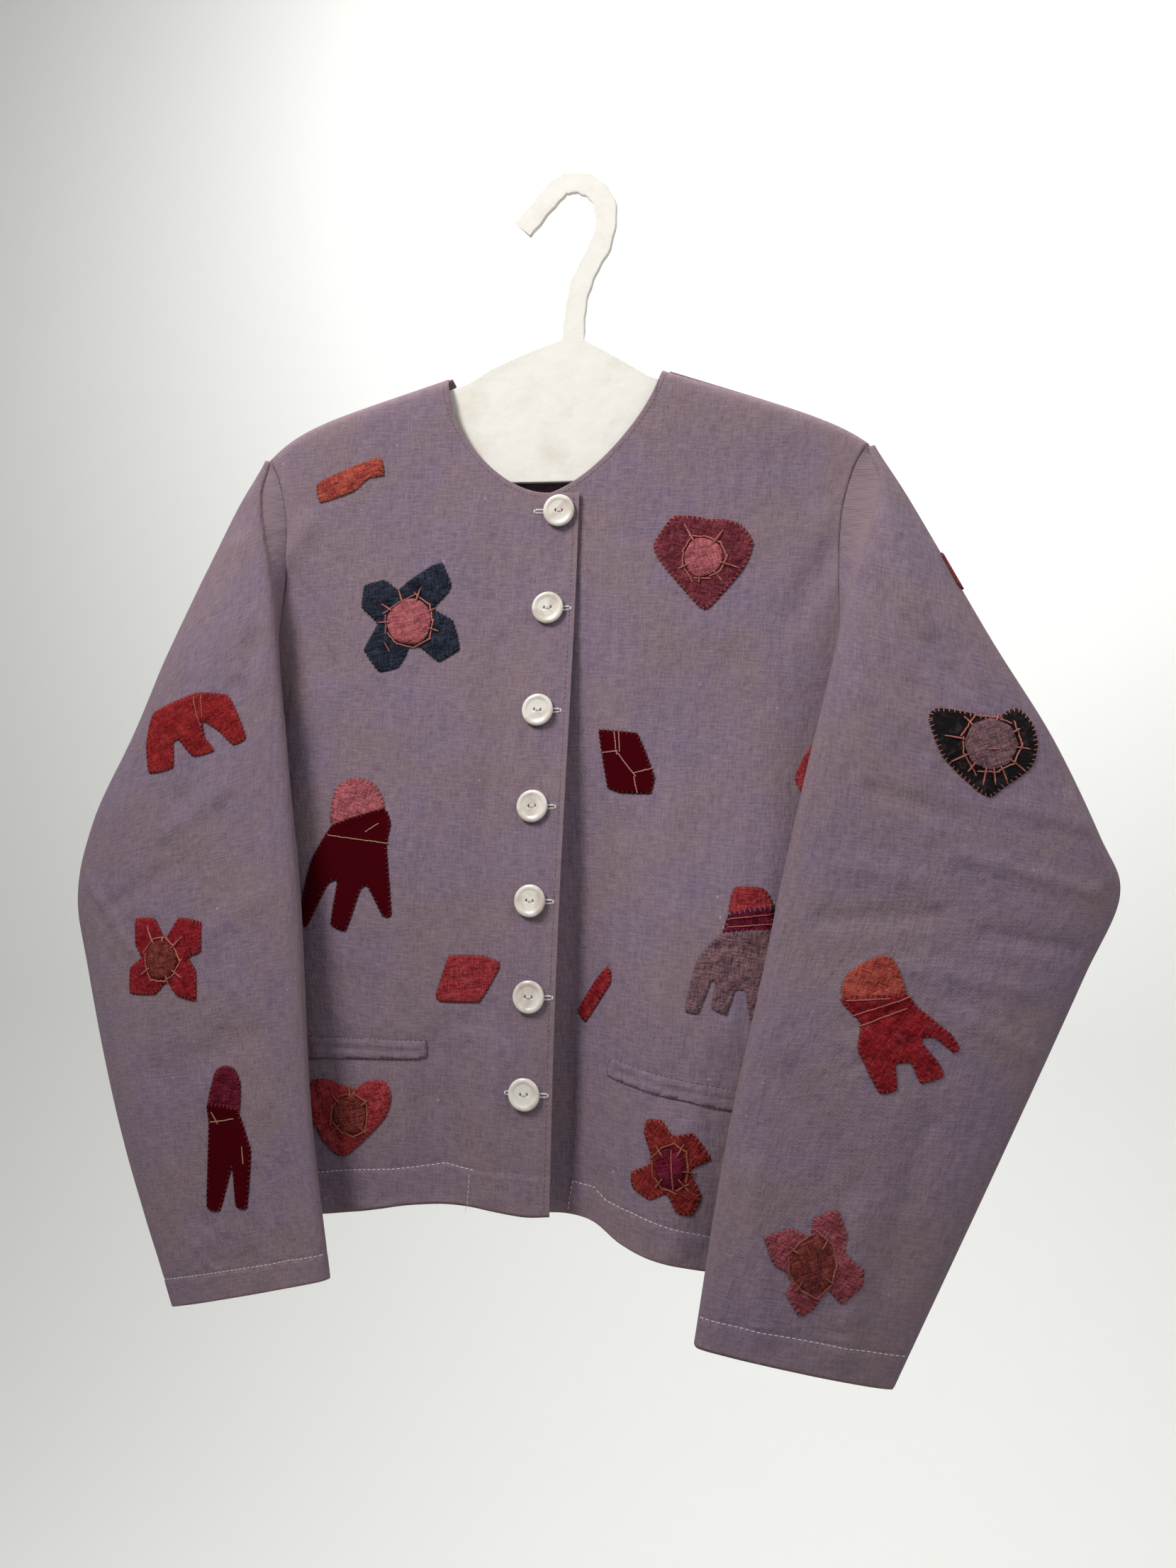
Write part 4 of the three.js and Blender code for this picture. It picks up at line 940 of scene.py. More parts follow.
def walk(path, pitch):
    """Places a pitch apart along a path, with the direction there."""
    found = []
    carry = 0.0
    for (ax, az), (bx, bz) in zip(path, path[1:]):
        length = math.hypot(bx - ax, bz - az)
        if length < 1e-6:
            continue
        direction = ((bx - ax) / length, (bz - az) / length)
        at = carry
        while at < length:
            found.append(((ax + direction[0] * at, az + direction[1] * at), direction))
            at += pitch
        carry = at - length
    return found


def circle(x, z, radius, wobble=0.0, sides=28, tall=1.0):
    made = []
    for k in range(sides):
        angle = 2 * math.pi * k / sides
        r = radius * (1 + wobble * math.sin(3 * angle + x) + 0.6 * wobble * math.sin(5 * angle + z))
        made.append((x + r * math.cos(angle), z + tall * r * math.sin(angle)))
    return made


# ---------------------------------------------------------------- materials
def washed_twill():
    """Cotton twill, piece-dyed mauve grey and washed: matte, with long faint dye streaks down the
    warp, browner and paler where seams and folds rub, and a few white slubs."""
    material, tree = new_material("washed_cotton_twill")
    uv = node(tree, "ShaderNodeTexCoord").outputs["UV"]
    seen = []
    for scale, detail, roughness in (
        ((190, 9, 1), 5, 0.65),  # dye streaks about 5 mm across and 110 mm long
        ((17, 17, 1), 5, 0.6),  # clouds about 60 mm across
        ((900, 120, 1), 2, 0.5),  # warp threads, drawn twice as coarse as real ones so that they show
        ((110, 800, 1), 2, 0.5),  # and weft threads
        ((85, 42, 1), 7, 0.62),  # crinkle left by washing, about 12 mm across
    ):
        at = node(tree, "ShaderNodeMapping", {"Vector": uv, "Scale": scale}).outputs[0]
        inputs = {"Vector": at, "Scale": 1.0, "Detail": detail, "Roughness": roughness}
        seen.append(node(tree, "ShaderNodeTexNoise", inputs).outputs["Fac"])
    streak, cloud, warp, weft, crinkle = seen
    turned = node(tree, "ShaderNodeMapping", {"Vector": uv, "Rotation": (0.0, 0.0, math.radians(-52))})
    inputs = {"Vector": turned.outputs[0], "Scale": 170.0, "Distortion": 1.2, "Detail": 1.0}
    twill = node(tree, "ShaderNodeTexWave", inputs, wave_type="BANDS", bands_direction="X").outputs["Fac"]
    worn = node(tree, "ShaderNodeAttribute", attribute_name="wear", attribute_type="GEOMETRY").outputs["Fac"]
    fleck = node(tree, "ShaderNodeTexVoronoi", {"Vector": uv, "Scale": 42.0}).outputs["Distance"]
    base = dyed(tree, "#8a7588", (
        (streak, 0.38, 0.64, 0.6, "#73637b"), (cloud, 0.42, 0.6, 0.7, "#8b7577"),
        (warp, 0.42, 0.66, 0.5, "#65556a"), (weft, 0.42, 0.66, 0.4, "#9c8b93"),
        (worn, 0.0, 1.0, 0.55, "#927c7e"), (fleck, 0.045, 0.02, 0.6, "#bcb0b6"),
    ))
    surface = {"Roughness": 0.88, "IOR": 1.46, "Specular IOR Level": 0.25, "Sheen Weight": 0.1,
               "Sheen Roughness": 0.45, "Sheen Tint": colour("#b9a7b4")}
    finish(tree, base, surface, ((crinkle, 1.0, 2.4), (twill, 0.5, 0.16), (warp, 0.5, 0.3), (weft, 0.5, 0.3)))
    return material


def plain_weave(name, light, dark, worn="#a06b66", wear=0.35, mottle_and_painted_shade=0.7):
    """Hand-dyed cotton in an open plain weave, crumpled in sewing: slubby threads both ways, darker in the
    gaps, unevenly dyed and darkened with painted shade along its crumples, paler where it rubs. Threads are
    drawn at twice their real width."""
    material, tree = new_material(name)
    uv = node(tree, "ShaderNodeTexCoord").outputs["UV"]
    seen = []
    for scale, detail, roughness in (
        ((130, 1000, 1), 2, 0.5),  # weft and warp threads
        ((1000, 130, 1), 2, 0.5),
        ((75, 75, 1), 5, 0.65),  # uneven dye and crumples about 13 mm across; the same pattern also darkens the colour as painted shade
        ((130, 130, 1), 5, 0.7),  # rubbed places
    ):
        at = node(tree, "ShaderNodeMapping", {"Vector": uv, "Scale": scale}).outputs[0]
        inputs = {"Vector": at, "Scale": 1.0, "Detail": detail, "Roughness": roughness}
        seen.append(node(tree, "ShaderNodeTexNoise", inputs).outputs["Fac"])
    weft, warp, cloud, rubbed = seen
    net = node(tree, "ShaderNodeMath", {0: weft, 1: warp}, operation="ADD").outputs[0]
    # painted shade: the crumple pattern darkens the colour as well as bumping it, partly uneven dye and
    # partly painted shade of the crumples
    base = dyed(tree, dark, (
        (net, 0.78, 1.18, 1.0, light), (cloud, 0.45, 0.68, mottle_and_painted_shade, dark), (rubbed, 0.52, 0.72, wear, worn),
    ))
    finish(tree, base, {"Roughness": 0.95, "Specular IOR Level": 0.08}, ((cloud, 1.0, 6.0), (net, 0.7, 0.4)))
    return material


def wool_felt():
    """Fulled wool, dark wine red: dense and matte with a fine nap and no visible threads."""
    material, tree = new_material("fulled_wool")
    uv = node(tree, "ShaderNodeTexCoord").outputs["UV"]
    inputs = {"Vector": uv, "Scale": 900.0, "Detail": 3.0, "Roughness": 0.7}
    nap = node(tree, "ShaderNodeTexNoise", inputs).outputs["Fac"]
    base = dyed(tree, "#360009", ((nap, 0.0, 1.0, 1.0, "#4e0610"),))
    finish(tree, base, {"Roughness": 1.0, "Specular IOR Level": 0.03}, ((nap, 0.5, 0.3),))
    return material


def crushed_velvet():
    """Black cotton velvet, crushed: deep black, with soft brown-grey gleams painted into its colour where the
    pile lies over, a painted sheen on top of the shader's own.
    """
    material, tree = new_material("crushed_velvet")
    uv = node(tree, "ShaderNodeTexCoord").outputs["UV"]
    inputs = {"Vector": uv, "Scale": 190.0, "Detail": 4.0, "Roughness": 0.6, "Distortion": 1.2}
    pile_lie_and_painted_gleam = node(tree, "ShaderNodeTexNoise", inputs).outputs["Fac"]
    # painted highlight: the brown-grey tint paints the gleams of the crushed pile into the base colour
    base = dyed(tree, "#100d10", ((pile_lie_and_painted_gleam, 0.5, 0.74, 1.0, "#40343a"),))
    surface = {"Roughness": 0.7, "Specular IOR Level": 0.12, "Sheen Weight": 0.12,
               "Sheen Roughness": 0.35, "Sheen Tint": colour("#6f6670")}
    finish(tree, base, surface, ((pile_lie_and_painted_gleam, 0.8, 1.5),))
    return material


def cotton_thread(name, light, dark):
    """Mercerised cotton thread: a little sheen, with its twist as fine uneven bands."""
    material, tree = new_material(name)
    at = node(tree, "ShaderNodeTexCoord").outputs["Object"]
    ply = node(tree, "ShaderNodeTexNoise", {"Vector": at, "Scale": 900.0, "Detail": 2.0}).outputs["Fac"]
    base = dyed(tree, dark, ((ply, 0.0, 1.0, 1.0, light),))
    finish(tree, base, {"Roughness": 0.55, "IOR": 1.5, "Sheen Weight": 0.1})
    return material


def canvas_cloth():
    """Unbleached calico washed nearly white: fine even weave, faint handling marks."""
    material, tree = new_material("washed_calico")
    at = node(tree, "ShaderNodeTexCoord").outputs["Object"]
    fine = node(tree, "ShaderNodeMapping", {"Vector": at, "Scale": (1500.0, 900.0, 1100.0)}).outputs[0]
    weave = node(tree, "ShaderNodeTexNoise", {"Vector": fine, "Scale": 1.0, "Detail": 2.0}).outputs["Fac"]
    inputs = {"Vector": at, "Scale": 24.0, "Detail": 5.0, "Roughness": 0.65}
    marks = node(tree, "ShaderNodeTexNoise", inputs).outputs["Fac"]
    crease = node(tree, "ShaderNodeTexNoise", {"Vector": at, "Scale": 75.0, "Detail": 4.0}).outputs["Fac"]
    base = dyed(tree, "#f7f4ed", ((marks, 0.5, 0.72, 0.6, "#e2d9ca"),))
    surface = {"Roughness": 0.9, "Specular IOR Level": 0.2}
    finish(tree, base, surface, ((crease, 0.5, 1.4), (weave, 0.5, 0.2)))
    return material


def pearl_shell():
    """Mother-of-pearl, turned and polished: pale, with soft cloudy bands of warmer cream."""
    material, tree = new_material("mother_of_pearl")
    at = node(tree, "ShaderNodeTexCoord").outputs["Object"]
    inputs = {"Vector": at, "Scale": 48.0, "Detail": 2.0, "Distortion": 1.2}
    band = node(tree, "ShaderNodeTexNoise", inputs).outputs["Fac"]
    base = dyed(tree, "#f5efe6", ((band, 0.42, 0.6, 1.0, "#dccfc4"),))
    finish(tree, base, {
        "Roughness": 0.22, "IOR": 1.6, "Coat Weight": 0.5, "Coat Roughness": 0.08,
        "Subsurface Weight": 0.15, "Subsurface Scale": 0.002,
    })
    return material


MATERIALS = {
    "jacket_cloth": washed_twill(),
    "hanger_canvas": canvas_cloth(),
    "pearl_button": pearl_shell(),
    "orange_cloth": plain_weave("brick_orange_cotton", "#bf5c4b", "#832f2e", worn="#cc8174"),
    "arch_red": plain_weave("madder_red_cotton", "#a22d2d", "#6e141d", worn="#b05248"),
    "red_cloth": plain_weave("washed_red_cotton", "#b24347", "#781e27", worn="#c06a6e"),
    "wine_felt": wool_felt(),
    "maroon_cloth": plain_weave("maroon_cotton", "#863f48", "#511a26", worn="#a2636a"),
    "rose_cloth": plain_weave("rose_mauve_cotton", "#a5565f", "#6c2b35", worn="#bc868c"),
    "pink_cloth": plain_weave("faded_pink_cotton", "#c36f73", "#88424c", worn="#cf9394"),
    "navy_cloth": plain_weave("navy_indigo_cotton", "#363b4b", "#15161f", worn="#555c6a", wear=0.25),
    "black_cloth": crushed_velvet(),
    "mauve_cloth": plain_weave("brown_mauve_cotton", "#8d6a70", "#533c43", worn="#a17f82", mottle_and_painted_shade=0.35),
    "plum_cloth": plain_weave("dark_plum_cotton", "#7a2038", "#440a1a", worn="#92465a"),
    "brown_cloth": plain_weave("red_brown_cotton", "#8f443d", "#521f1f", worn="#a0655b"),
    "rust_cloth": plain_weave("rust_brown_cotton", "#94332f", "#551317", worn="#aa5148"),
    "deep_red": plain_weave("deep_red_cotton", "#a0292f", "#650f1a", worn="#b3555a"),
}
THREADS = {
    "coral": cotton_thread("coral_thread", "#c07062", "#984c44"),
    "rust": cotton_thread("rust_thread", "#a35a42", "#7d3a2a"),
    "pink": cotton_thread("pale_pink_thread", "#c88f88", "#a66a64"),
    "tan": cotton_thread("tan_thread", "#b98a68", "#8f6346"),
    "white": cotton_thread("white_thread", "#f2eeea", "#d5cfcb"),
    "navy": cotton_thread("navy_thread", "#303848", "#1c2230"),
    "red": cotton_thread("red_thread", "#94423f", "#642126"),
    "rose": cotton_thread("rose_thread", "#9d6468", "#7a454b"),
    "dark": cotton_thread("dark_red_thread", "#6d2028", "#4a1018"),
    "mauve": cotton_thread("mauve_thread", "#77656f", "#5c4c57"),
    "calico": cotton_thread("calico_thread", "#efe9de", "#cfc7b8"),
}

# ---------------------------------------------------------------- the garment's pieces
make_camera()
make_stage()

PIECES = {}
SHEETS = {
    "front_right": ((0.24, 0.567), "hung", ["hanger"], 0.113),
    "front_left": ((0.236, 0.569), "hung", ["hanger"], 0.113),
    "back": ((0.444, 0.567), "hung", ["hanger"], 0.23),
    "sleeve_right_top": ((0.34, 0.595), "hung", ["front_right"], 0.13),
    "sleeve_left_top": ((0.35, 0.6), "hung", ["front_left"], 0.135),
    "sleeve_right_under": ((0.17, 0.53), "hung", ["back"], 0.065),
    "sleeve_left_under": ((0.175, 0.53), "hung", ["back"], 0.067),
}


def keep(piece, slot, material):
    """Gives a finished piece its place in the table and its finish."""
    piece.data.materials.append(material)
    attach(piece, "root")
    PIECES[piece.name] = piece
    return piece


def make_garment():
    made = [front_panel(-1), front_panel(1), back_panel()]
    for side in (-1, 1):
        for top in (True, False):
            made.append(sleeve_panel(side, top))
    for piece in made:
        node_name = piece.name.removeprefix("cloth_")
        keep(piece, "jacket_cloth", MATERIALS["jacket_cloth"])
        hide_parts(node_name)
        PIECES[node_name] = piece
        flat, held, rests_on, area = SHEETS[node_name]
        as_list(rests_on)


make_garment()

# ---------------------------------------------------------------- what is sewn on
# name: panel, material, edge thread, softness of the outline, grain in degrees, outline
PATCHES = {
    "patch_bar_shoulder": ("front_right", "orange_cloth", "rust", 0.3, 22, [
        (-168, -193), (-165, -206), (-141, -199), (-130, -190), (-119, -188), (-122, -176), (-143, -182)]),
    "patch_flower_navy": ("front_right", "navy_cloth", "navy", 0.22, 8, [
        (-106, -267), (-97, -260), (-83, -251), (-75, -249), (-68, -264), (-70, -269), (-80, -280),
        (-66, -288), (-62, -298), (-60, -308), (-74, -316), (-88, -306), (-96, -306), (-98, -312),
        (-103, -320), (-116, -323), (-128, -308), (-119, -290), (-131, -279), (-130, -264), (-116, -260)]),
    "patch_heart_maroon": ("front_left", "maroon_cloth", "coral", 0.6, -12, [
        (81, -220), (97, -220), (104, -222), (115, -222), (126, -226), (134, -238), (128, -255),
        (109, -278), (104, -281), (99, -278), (75, -251), (69, -238)]),
    "patch_arch": ("sleeve_right_top", "arch_red", "red", 0.4, 25, [
        (-277, -353), (-240, -340), (-216, -341), (-208, -350), (-198, -370), (-207, -375),
        (-219, -366), (-233, -359), (-231, -370), (-222, -379), (-239, -383), (-251, -372),
        (-256, -374), (-255, -391), (-276, -395), (-281, -374)]),
    "patch_hand_wine": ("front_right", "wine_felt", "dark", 0.35, 0, [
        (-143, -427), (-156, -450), (-163, -483), (-162, -495), (-157, -495), (-144, -467),
        (-137, -464), (-140, -493), (-129, -497), (-120, -469), (-115, -467), (-103, -486),
        (-97, -485), (-103, -440), (-101, -425), (-107, -415)]),
    "patch_hand_wine_cap": ("front_right", "pink_cloth", "red", 0.8, -15, [
        (-143, -428), (-144, -410), (-140, -400), (-129, -395), (-117, -398), (-110, -405), (-107, -417),
        (-125, -424)]),
    "patch_diamond_wine": ("front_left", "wine_felt", "dark", 0.1, 0, [
        (37, -360), (63, -362), (70, -376), (76, -391), (74, -401), (54, -401), (45, -398), (41, -381)]),
    "patch_side_red": ("front_left", "red_cloth", "red", 0.4, 30, [
        (178, -364), (170, -376), (165, -389), (171, -400), (186, -400), (193, -386), (189, -368)]),
    "patch_heart_black": ("sleeve_left_top", "black_cloth", "coral", 0.7, 0, [
        (247, -352), (252, -345), (275, -348), (287, -351), (294, -345), (301, -344), (309, -353),
        (312, -366), (308, -380), (290, -394), (285, -398), (277, -395), (256, -375)]),
    "patch_hand_mauve": ("front_left", "mauve_cloth", "mauve", 0.35, -8, [
        (124, -487), (110, -503), (105, -524), (104, -535), (112, -536), (119, -516), (122, -517),
        (120, -532), (129, -536), (134, -521), (140, -521), (144, -538), (153, -538), (156, -505),
        (155, -484)]),
    "patch_hand_mauve_band": ("front_left", "plum_cloth", "mauve", 0.1, 5, [
        (128, -474), (155, -469), (156, -487), (124, -490)]),
    "patch_hand_mauve_cap": ("front_left", "red_cloth", "red", 0.6, 0, [
        (129, -476), (129, -463), (132, -458), (147, -458), (152, -462), (155, -472)]),
    "patch_hand_red": ("sleeve_left_top", "deep_red", "red", 0.35, -32, [
        (199, -521), (211, -535), (210, -551), (223, -576), (233, -574), (232, -559), (241, -558),
        (247, -570), (260, -566), (257, -558), (247, -546), (248, -543), (255, -543), (266, -552),
        (269, -549), (264, -541), (244, -525), (236, -517)]),
    "patch_hand_red_cap": ("sleeve_left_top", "orange_cloth", "rust", 0.6, -20, [
        (200, -520), (202, -507), (211, -500), (221, -495), (228, -496), (233, -504), (237, -519),
        (220, -523)]),
    "patch_flower_red": ("sleeve_right_top", "deep_red", "red", 0.3, 15, [
        (-281, -495), (-264, -494), (-254, -507), (-243, -492), (-224, -494), (-223, -513),
        (-233, -518), (-226, -527), (-225, -546), (-241, -544), (-250, -535), (-261, -545),
        (-283, -546), (-284, -529), (-274, -521), (-280, -512)]),
    "patch_diamond_red": ("front_right", "red_cloth", "red", 0.2, 10, [
        (-56, -510), (-34, -509), (-21, -512), (-21, -517), (-34, -539), (-61, -540), (-64, -536)]),
    "patch_bar_red": ("front_left", "deep_red", "red", 0.3, 58, [
        (50, -512), (53, -515), (53, -522), (35, -549), (32, -547), (29, -542), (41, -522)]),
    "patch_hand_narrow": ("sleeve_right_top", "wine_felt", "dark", 0.3, 0, [
        (-212, -612), (-210, -626), (-209, -679), (-198, -680), (-190, -651), (-185, -675),
        (-176, -675), (-175, -638), (-188, -613)]),
    "patch_hand_narrow_cap": ("sleeve_right_top", "plum_cloth", "dark", 0.6, 0, [
        (-211, -616), (-208, -596), (-205, -589), (-198, -586), (-191, -588), (-186, -597), (-187, -616)]),
    "patch_heart_red": ("front_right", "red_cloth", "red", 0.7, 20, [
        (-151, -602), (-148, -597), (-138, -596), (-120, -601), (-109, -595), (-97, -594),
        (-92, -603), (-96, -618), (-119, -642), (-129, -646), (-140, -637), (-151, -617)]),
    "patch_flower_rust": ("front_left", "rust_cloth", "rust", 0.4, -35, [
        (81, -610), (83, -602), (92, -601), (100, -610), (112, -608), (123, -623), (111, -630),
        (118, -646), (113, -657), (104, -656), (97, -645), (86, -650), (74, -645), (73, -636),
        (87, -627)]),
    "patch_flower_rose": ("sleeve_left_top", "rose_cloth", "rose", 0.35, -30, [
        (159, -661), (174, -656), (185, -661), (187, -650), (200, -645), (206, -659), (205, -670),
        (216, -680), (216, -690), (204, -700), (196, -692), (187, -704), (180, -707), (172, -694),
        (177, -684), (165, -677)]),
}
SLOT_OF = {"arch_red": "orange_cloth", "deep_red": "red_cloth", "rust_cloth": "maroon_cloth"}

# Soft folds in the patches, pressed in when they were sewn: same form as the creases.
PATCH_FOLDS = {
    "patch_bar_shoulder": [((-160, -196), (-150, -188), 2.2, 0.5), ((-150, -200), (-136, -184), 2, 0.5),
                           ((-140, -196), (-128, -180), 2, -0.4)],
    "patch_flower_navy": [((-88, -262), (-70, -258), 3, 0.6), ((-126, -262), (-116, -276), 3, 0.5)],
    "patch_heart_maroon": [((80, -232), (90, -262), 3, 0.5), ((118, -230), (110, -268), 3, 0.6)],
    "patch_hand_red": [((206, -524), (240, -520), 2.2, 0.7), ((208, -531), (246, -528), 2.2, -0.4),
                       ((216, -540), (226, -566), 2.2, 0.5)],
    "patch_hand_mauve": [((122, -492), (154, -490), 2.5, 0.5), ((114, -504), (130, -500), 2.5, 0.4)],
    "patch_flower_rose": [((168, -662), (180, -668), 2.2, 0.6), ((196, -652), (190, -668), 2.2, 0.6),
                          ((206, -686), (194, -682), 2.2, 0.6), ((182, -700), (184, -688), 2.2, 0.6)],
    "patch_arch": [((-262, -352), (-262, -388), 3, 0.5), ((-240, -346), (-236, -376), 3, 0.5)],
}
DISCS = {
    "disc_flower_navy": ("patch_flower_navy", "pink_cloth", (-96, -289), 15.5),
    "disc_heart_maroon": ("patch_heart_maroon", "pink_cloth", (102, -247), 12.5),
    "disc_heart_black": ("patch_heart_black", "mauve_cloth", (284, -366), 16),
    "disc_flower_red": ("patch_flower_red", "brown_cloth", (-256, -521), 13),
    "disc_heart_red": ("patch_heart_red", "brown_cloth", (-121, -618), 12),
    "disc_flower_rust": ("patch_flower_rust", "plum_cloth", (99, -629), 9.5),
    "disc_flower_rose": ("patch_flower_rose", "brown_cloth", (187, -677), 12),
}
# Long stitches that point away from each disc: directions in degrees, and how far they reach.
SPIKES = {
    "disc_flower_navy": [(74, 24), (343, 22), (149, 24), (181, 23), (113, 25), (28, 20)],
    "disc_heart_maroon": [(121, 26), (55, 22), (343, 25), (309, 21), (205, 18), (262, 17)],
    "disc_heart_black": [(135, 23), (171, 28), (206, 26), (232, 22), (260, 26), (277, 25), (294, 25),
                         (322, 28), (354, 24), (30, 20), (78, 19)],
    "disc_flower_red": [(122, 26), (44, 24), (330, 22), (297, 23), (214, 21), (88, 17)],
    "disc_heart_red": [(138, 19), (40, 18), (92, 19), (224, 20), (318, 17)],
    "disc_flower_rust": [(311, 19), (62, 17), (128, 16), (235, 16), (350, 16)],
    "disc_flower_rose": [(62, 18), (140, 17), (238, 18), (318, 17)],
}


SEEN_PANELS = ("front_right", "front_left", "sleeve_right_top", "sleeve_left_top")
SKINS = {name: Skin(PIECES[name]) for name in SEEN_PANELS}

# A hand's cap is sewn down first, and the hand laps over its edge.
LAPS_OVER = {
    "patch_hand_wine": "patch_hand_wine_cap", "patch_hand_mauve_band": "patch_hand_mauve_cap",
    "patch_hand_mauve": "patch_hand_mauve_band", "patch_hand_red": "patch_hand_red_cap",
    "patch_hand_narrow": "patch_hand_narrow_cap",
}


def sew_on(name, outline, panel, material, slot, grain=0, folds=(), **form):
    """Makes a sewn-on piece with its place in the table, and returns the cloth with it on."""
    below = SKINS[LAPS_OVER.get(name, panel)]
    piece = keep(patch_piece(f"sewn_{name}", outline, below, grain, folds, **form), slot, MATERIALS[material])
    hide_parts(name)
    xs, zs = [p[0] for p in outline], [p[1] for p in outline]
    flat = ((max(xs) - min(xs)) * MM, (max(zs) - min(zs)) * MM)
    PIECES[name] = piece
    SKINS[name] = below.with_piece(piece)
    return SKINS[name]


def make_patches():
    order = sorted(PATCHES, key=lambda name: ("_cap" not in name, "_band" not in name))
    for name in order:
        panel, material, thread, soft, grain, corners = PATCHES[name]
        outline = rounded_outline(corners, soft=soft)
        slot = SLOT_OF.get(material, material)
        felt = material == "wine_felt"
        folds = PATCH_FOLDS.get(name, ())
        skin = sew_on(name, outline, panel, material, slot, grain, folds, pucker=0.1 if felt else 0.26)
        stitches = Thread(f"stitches_{name}", 0.36)
        stitches.whip(outline, skin, inside=1.5 if felt else 2.1)
        stitches.done(thread, slot)


def make_discs():
    for name, (patch, material, (x, z), radius) in DISCS.items():
        sides = 8 if name == "disc_heart_black" else 28
        tall = {"disc_flower_rust": 1.25, "disc_flower_rose": 1.3}.get(name, 1.0)
        outline = rounded_outline(circle(x, z, radius, 0.03, sides, tall), soft=0.3 if sides == 8 else 0.8)
        skin = sew_on(name, outline, patch, material, material, 20, puff=0.7)
        stitches = Thread(f"embroidery_{name[5:]}", 0.55)
        ring = circle(x, z, radius + 2.2, 0.07, 9, tall)
        stitches.laid(ring + ring[:1], skin)
        for degrees, reach in SPIKES[name]:
            stitches.spike(x, z, degrees, radius - 1.5, reach, skin)
        plain = name in ("disc_heart_red", "disc_flower_rust", "disc_flower_rose")
        stitches.done("rust" if plain else "coral", material)


make_patches()
make_discs()

# ---------------------------------------------------------------- welt pockets
WELTS = {
    "welt_right": ("front_right", 0.15, [
        (-154, -569), (-112, -567), (-70, -566), (-69, -577), (-111, -580), (-154, -583)]),
    "welt_left": ("front_left", 0.3, [
        (55, -569), (74, -572), (106, -577), (139, -582), (138, -594), (106, -589), (74, -584), (53, -580)]),
}


def make_welts():
    for name, (panel, soft, corners) in WELTS.items():
        outline = rounded_outline(corners, soft=soft)
        (ax, az), (bx, bz) = POCKETS[panel]
        slit = [((ax + 3, az), (bx - 3, bz), 1.3, -0.8), ((ax + 3, az + 3), (bx - 3, bz + 3), 2, 0.3),
                ((ax + 3, az - 3.5), (bx - 3, bz - 3.5), 2.2, 0.35)]
        skin = sew_on(name, outline, panel, "jacket_cloth", "jacket_cloth", 0, slit, puff=0.5, pucker=0.06)
        stitches = Thread(f"stitches_{name}", 0.2)
        stitches.run(outline + outline[:1], skin, length=2.0, gap=1.2, arch=0.1, above=0.05)
        stitches.done("mauve", "jacket_cloth")


make_welts()


# ---------------------------------------------------------------- buttons
BUTTON_PLACES = [(5, -215), (0, -280), (-3, -348), (-3, -411), (-1, -472), (1, -533), (0, -595)]
BUTTON_TURNS = [4, -3, 6, -2, 3, 0, -5]
# Ends of each worked buttonhole that show past the rim: which side, and from where to where.
HOLE_END = (1, 8.5, 14.5)
HOLE_ENDS = [[(-1, 8.0, 16.5)], [HOLE_END], [HOLE_END], [HOLE_END], [HOLE_END], [HOLE_END],
             [HOLE_END, (-1, 9.5, 12.6)]]


def button_mesh():
    """A turned disc with a raised rounded rim and a dished middle, drilled with two holes side by
    side, lying in the XZ plane with its face towards -Y. Millimetres."""
    profile = [(0, -1.9), (3.4, -1.9), (6.4, -1.95), (7.2, -2.1), (7.8, -2.5), (8.8, -2.7), (9.8, -2.5),
               (10.5, -1.9), (10.7, -1.3), (10.2, -0.5), (8.6, 0.0), (0, 0.0)]
    bm = bmesh.new()
    verts = [bm.verts.new((r, y, 0)) for r, y in profile]
    edges = [bm.edges.new(pair) for pair in zip(verts, verts[1:])]
    bmesh.ops.spin(
        bm, geom=verts + edges, cent=(0, 0, 0), axis=(0, 1, 0), steps=48, angle=2 * math.pi,
        use_merge=True, use_duplicate=False,
    )
    bmesh.ops.remove_doubles(bm, verts=bm.verts, dist=1e-4)
    bmesh.ops.recalc_face_normals(bm, faces=bm.faces)
    disc = object_of(bm, "button_disc")
    drill = bmesh.new()
    for side in (-1, 1):
        made = bmesh.ops.create_cone(
            drill, cap_ends=True, segments=16, radius1=1.0, radius2=1.0, depth=8,
            matrix=Matrix.Translation((side * 1.9, 0, 0)) @ Matrix.Rotation(math.pi / 2, 4, "X"),
        )
        bmesh.ops.recalc_face_normals(drill, faces=list({f for v in made["verts"] for f in v.link_faces}))
    cutter = object_of(drill, "button_drill")
    cut = disc.modifiers.new("holes", "BOOLEAN")
    cut.object = cutter
    cut.solver = "EXACT"
    graph = bpy.context.evaluated_depsgraph_get()
    data = bpy.data.meshes.new_from_object(disc.evaluated_get(graph))
    for spent in (disc, cutter):
        bpy.data.objects.remove(spent)
    return data


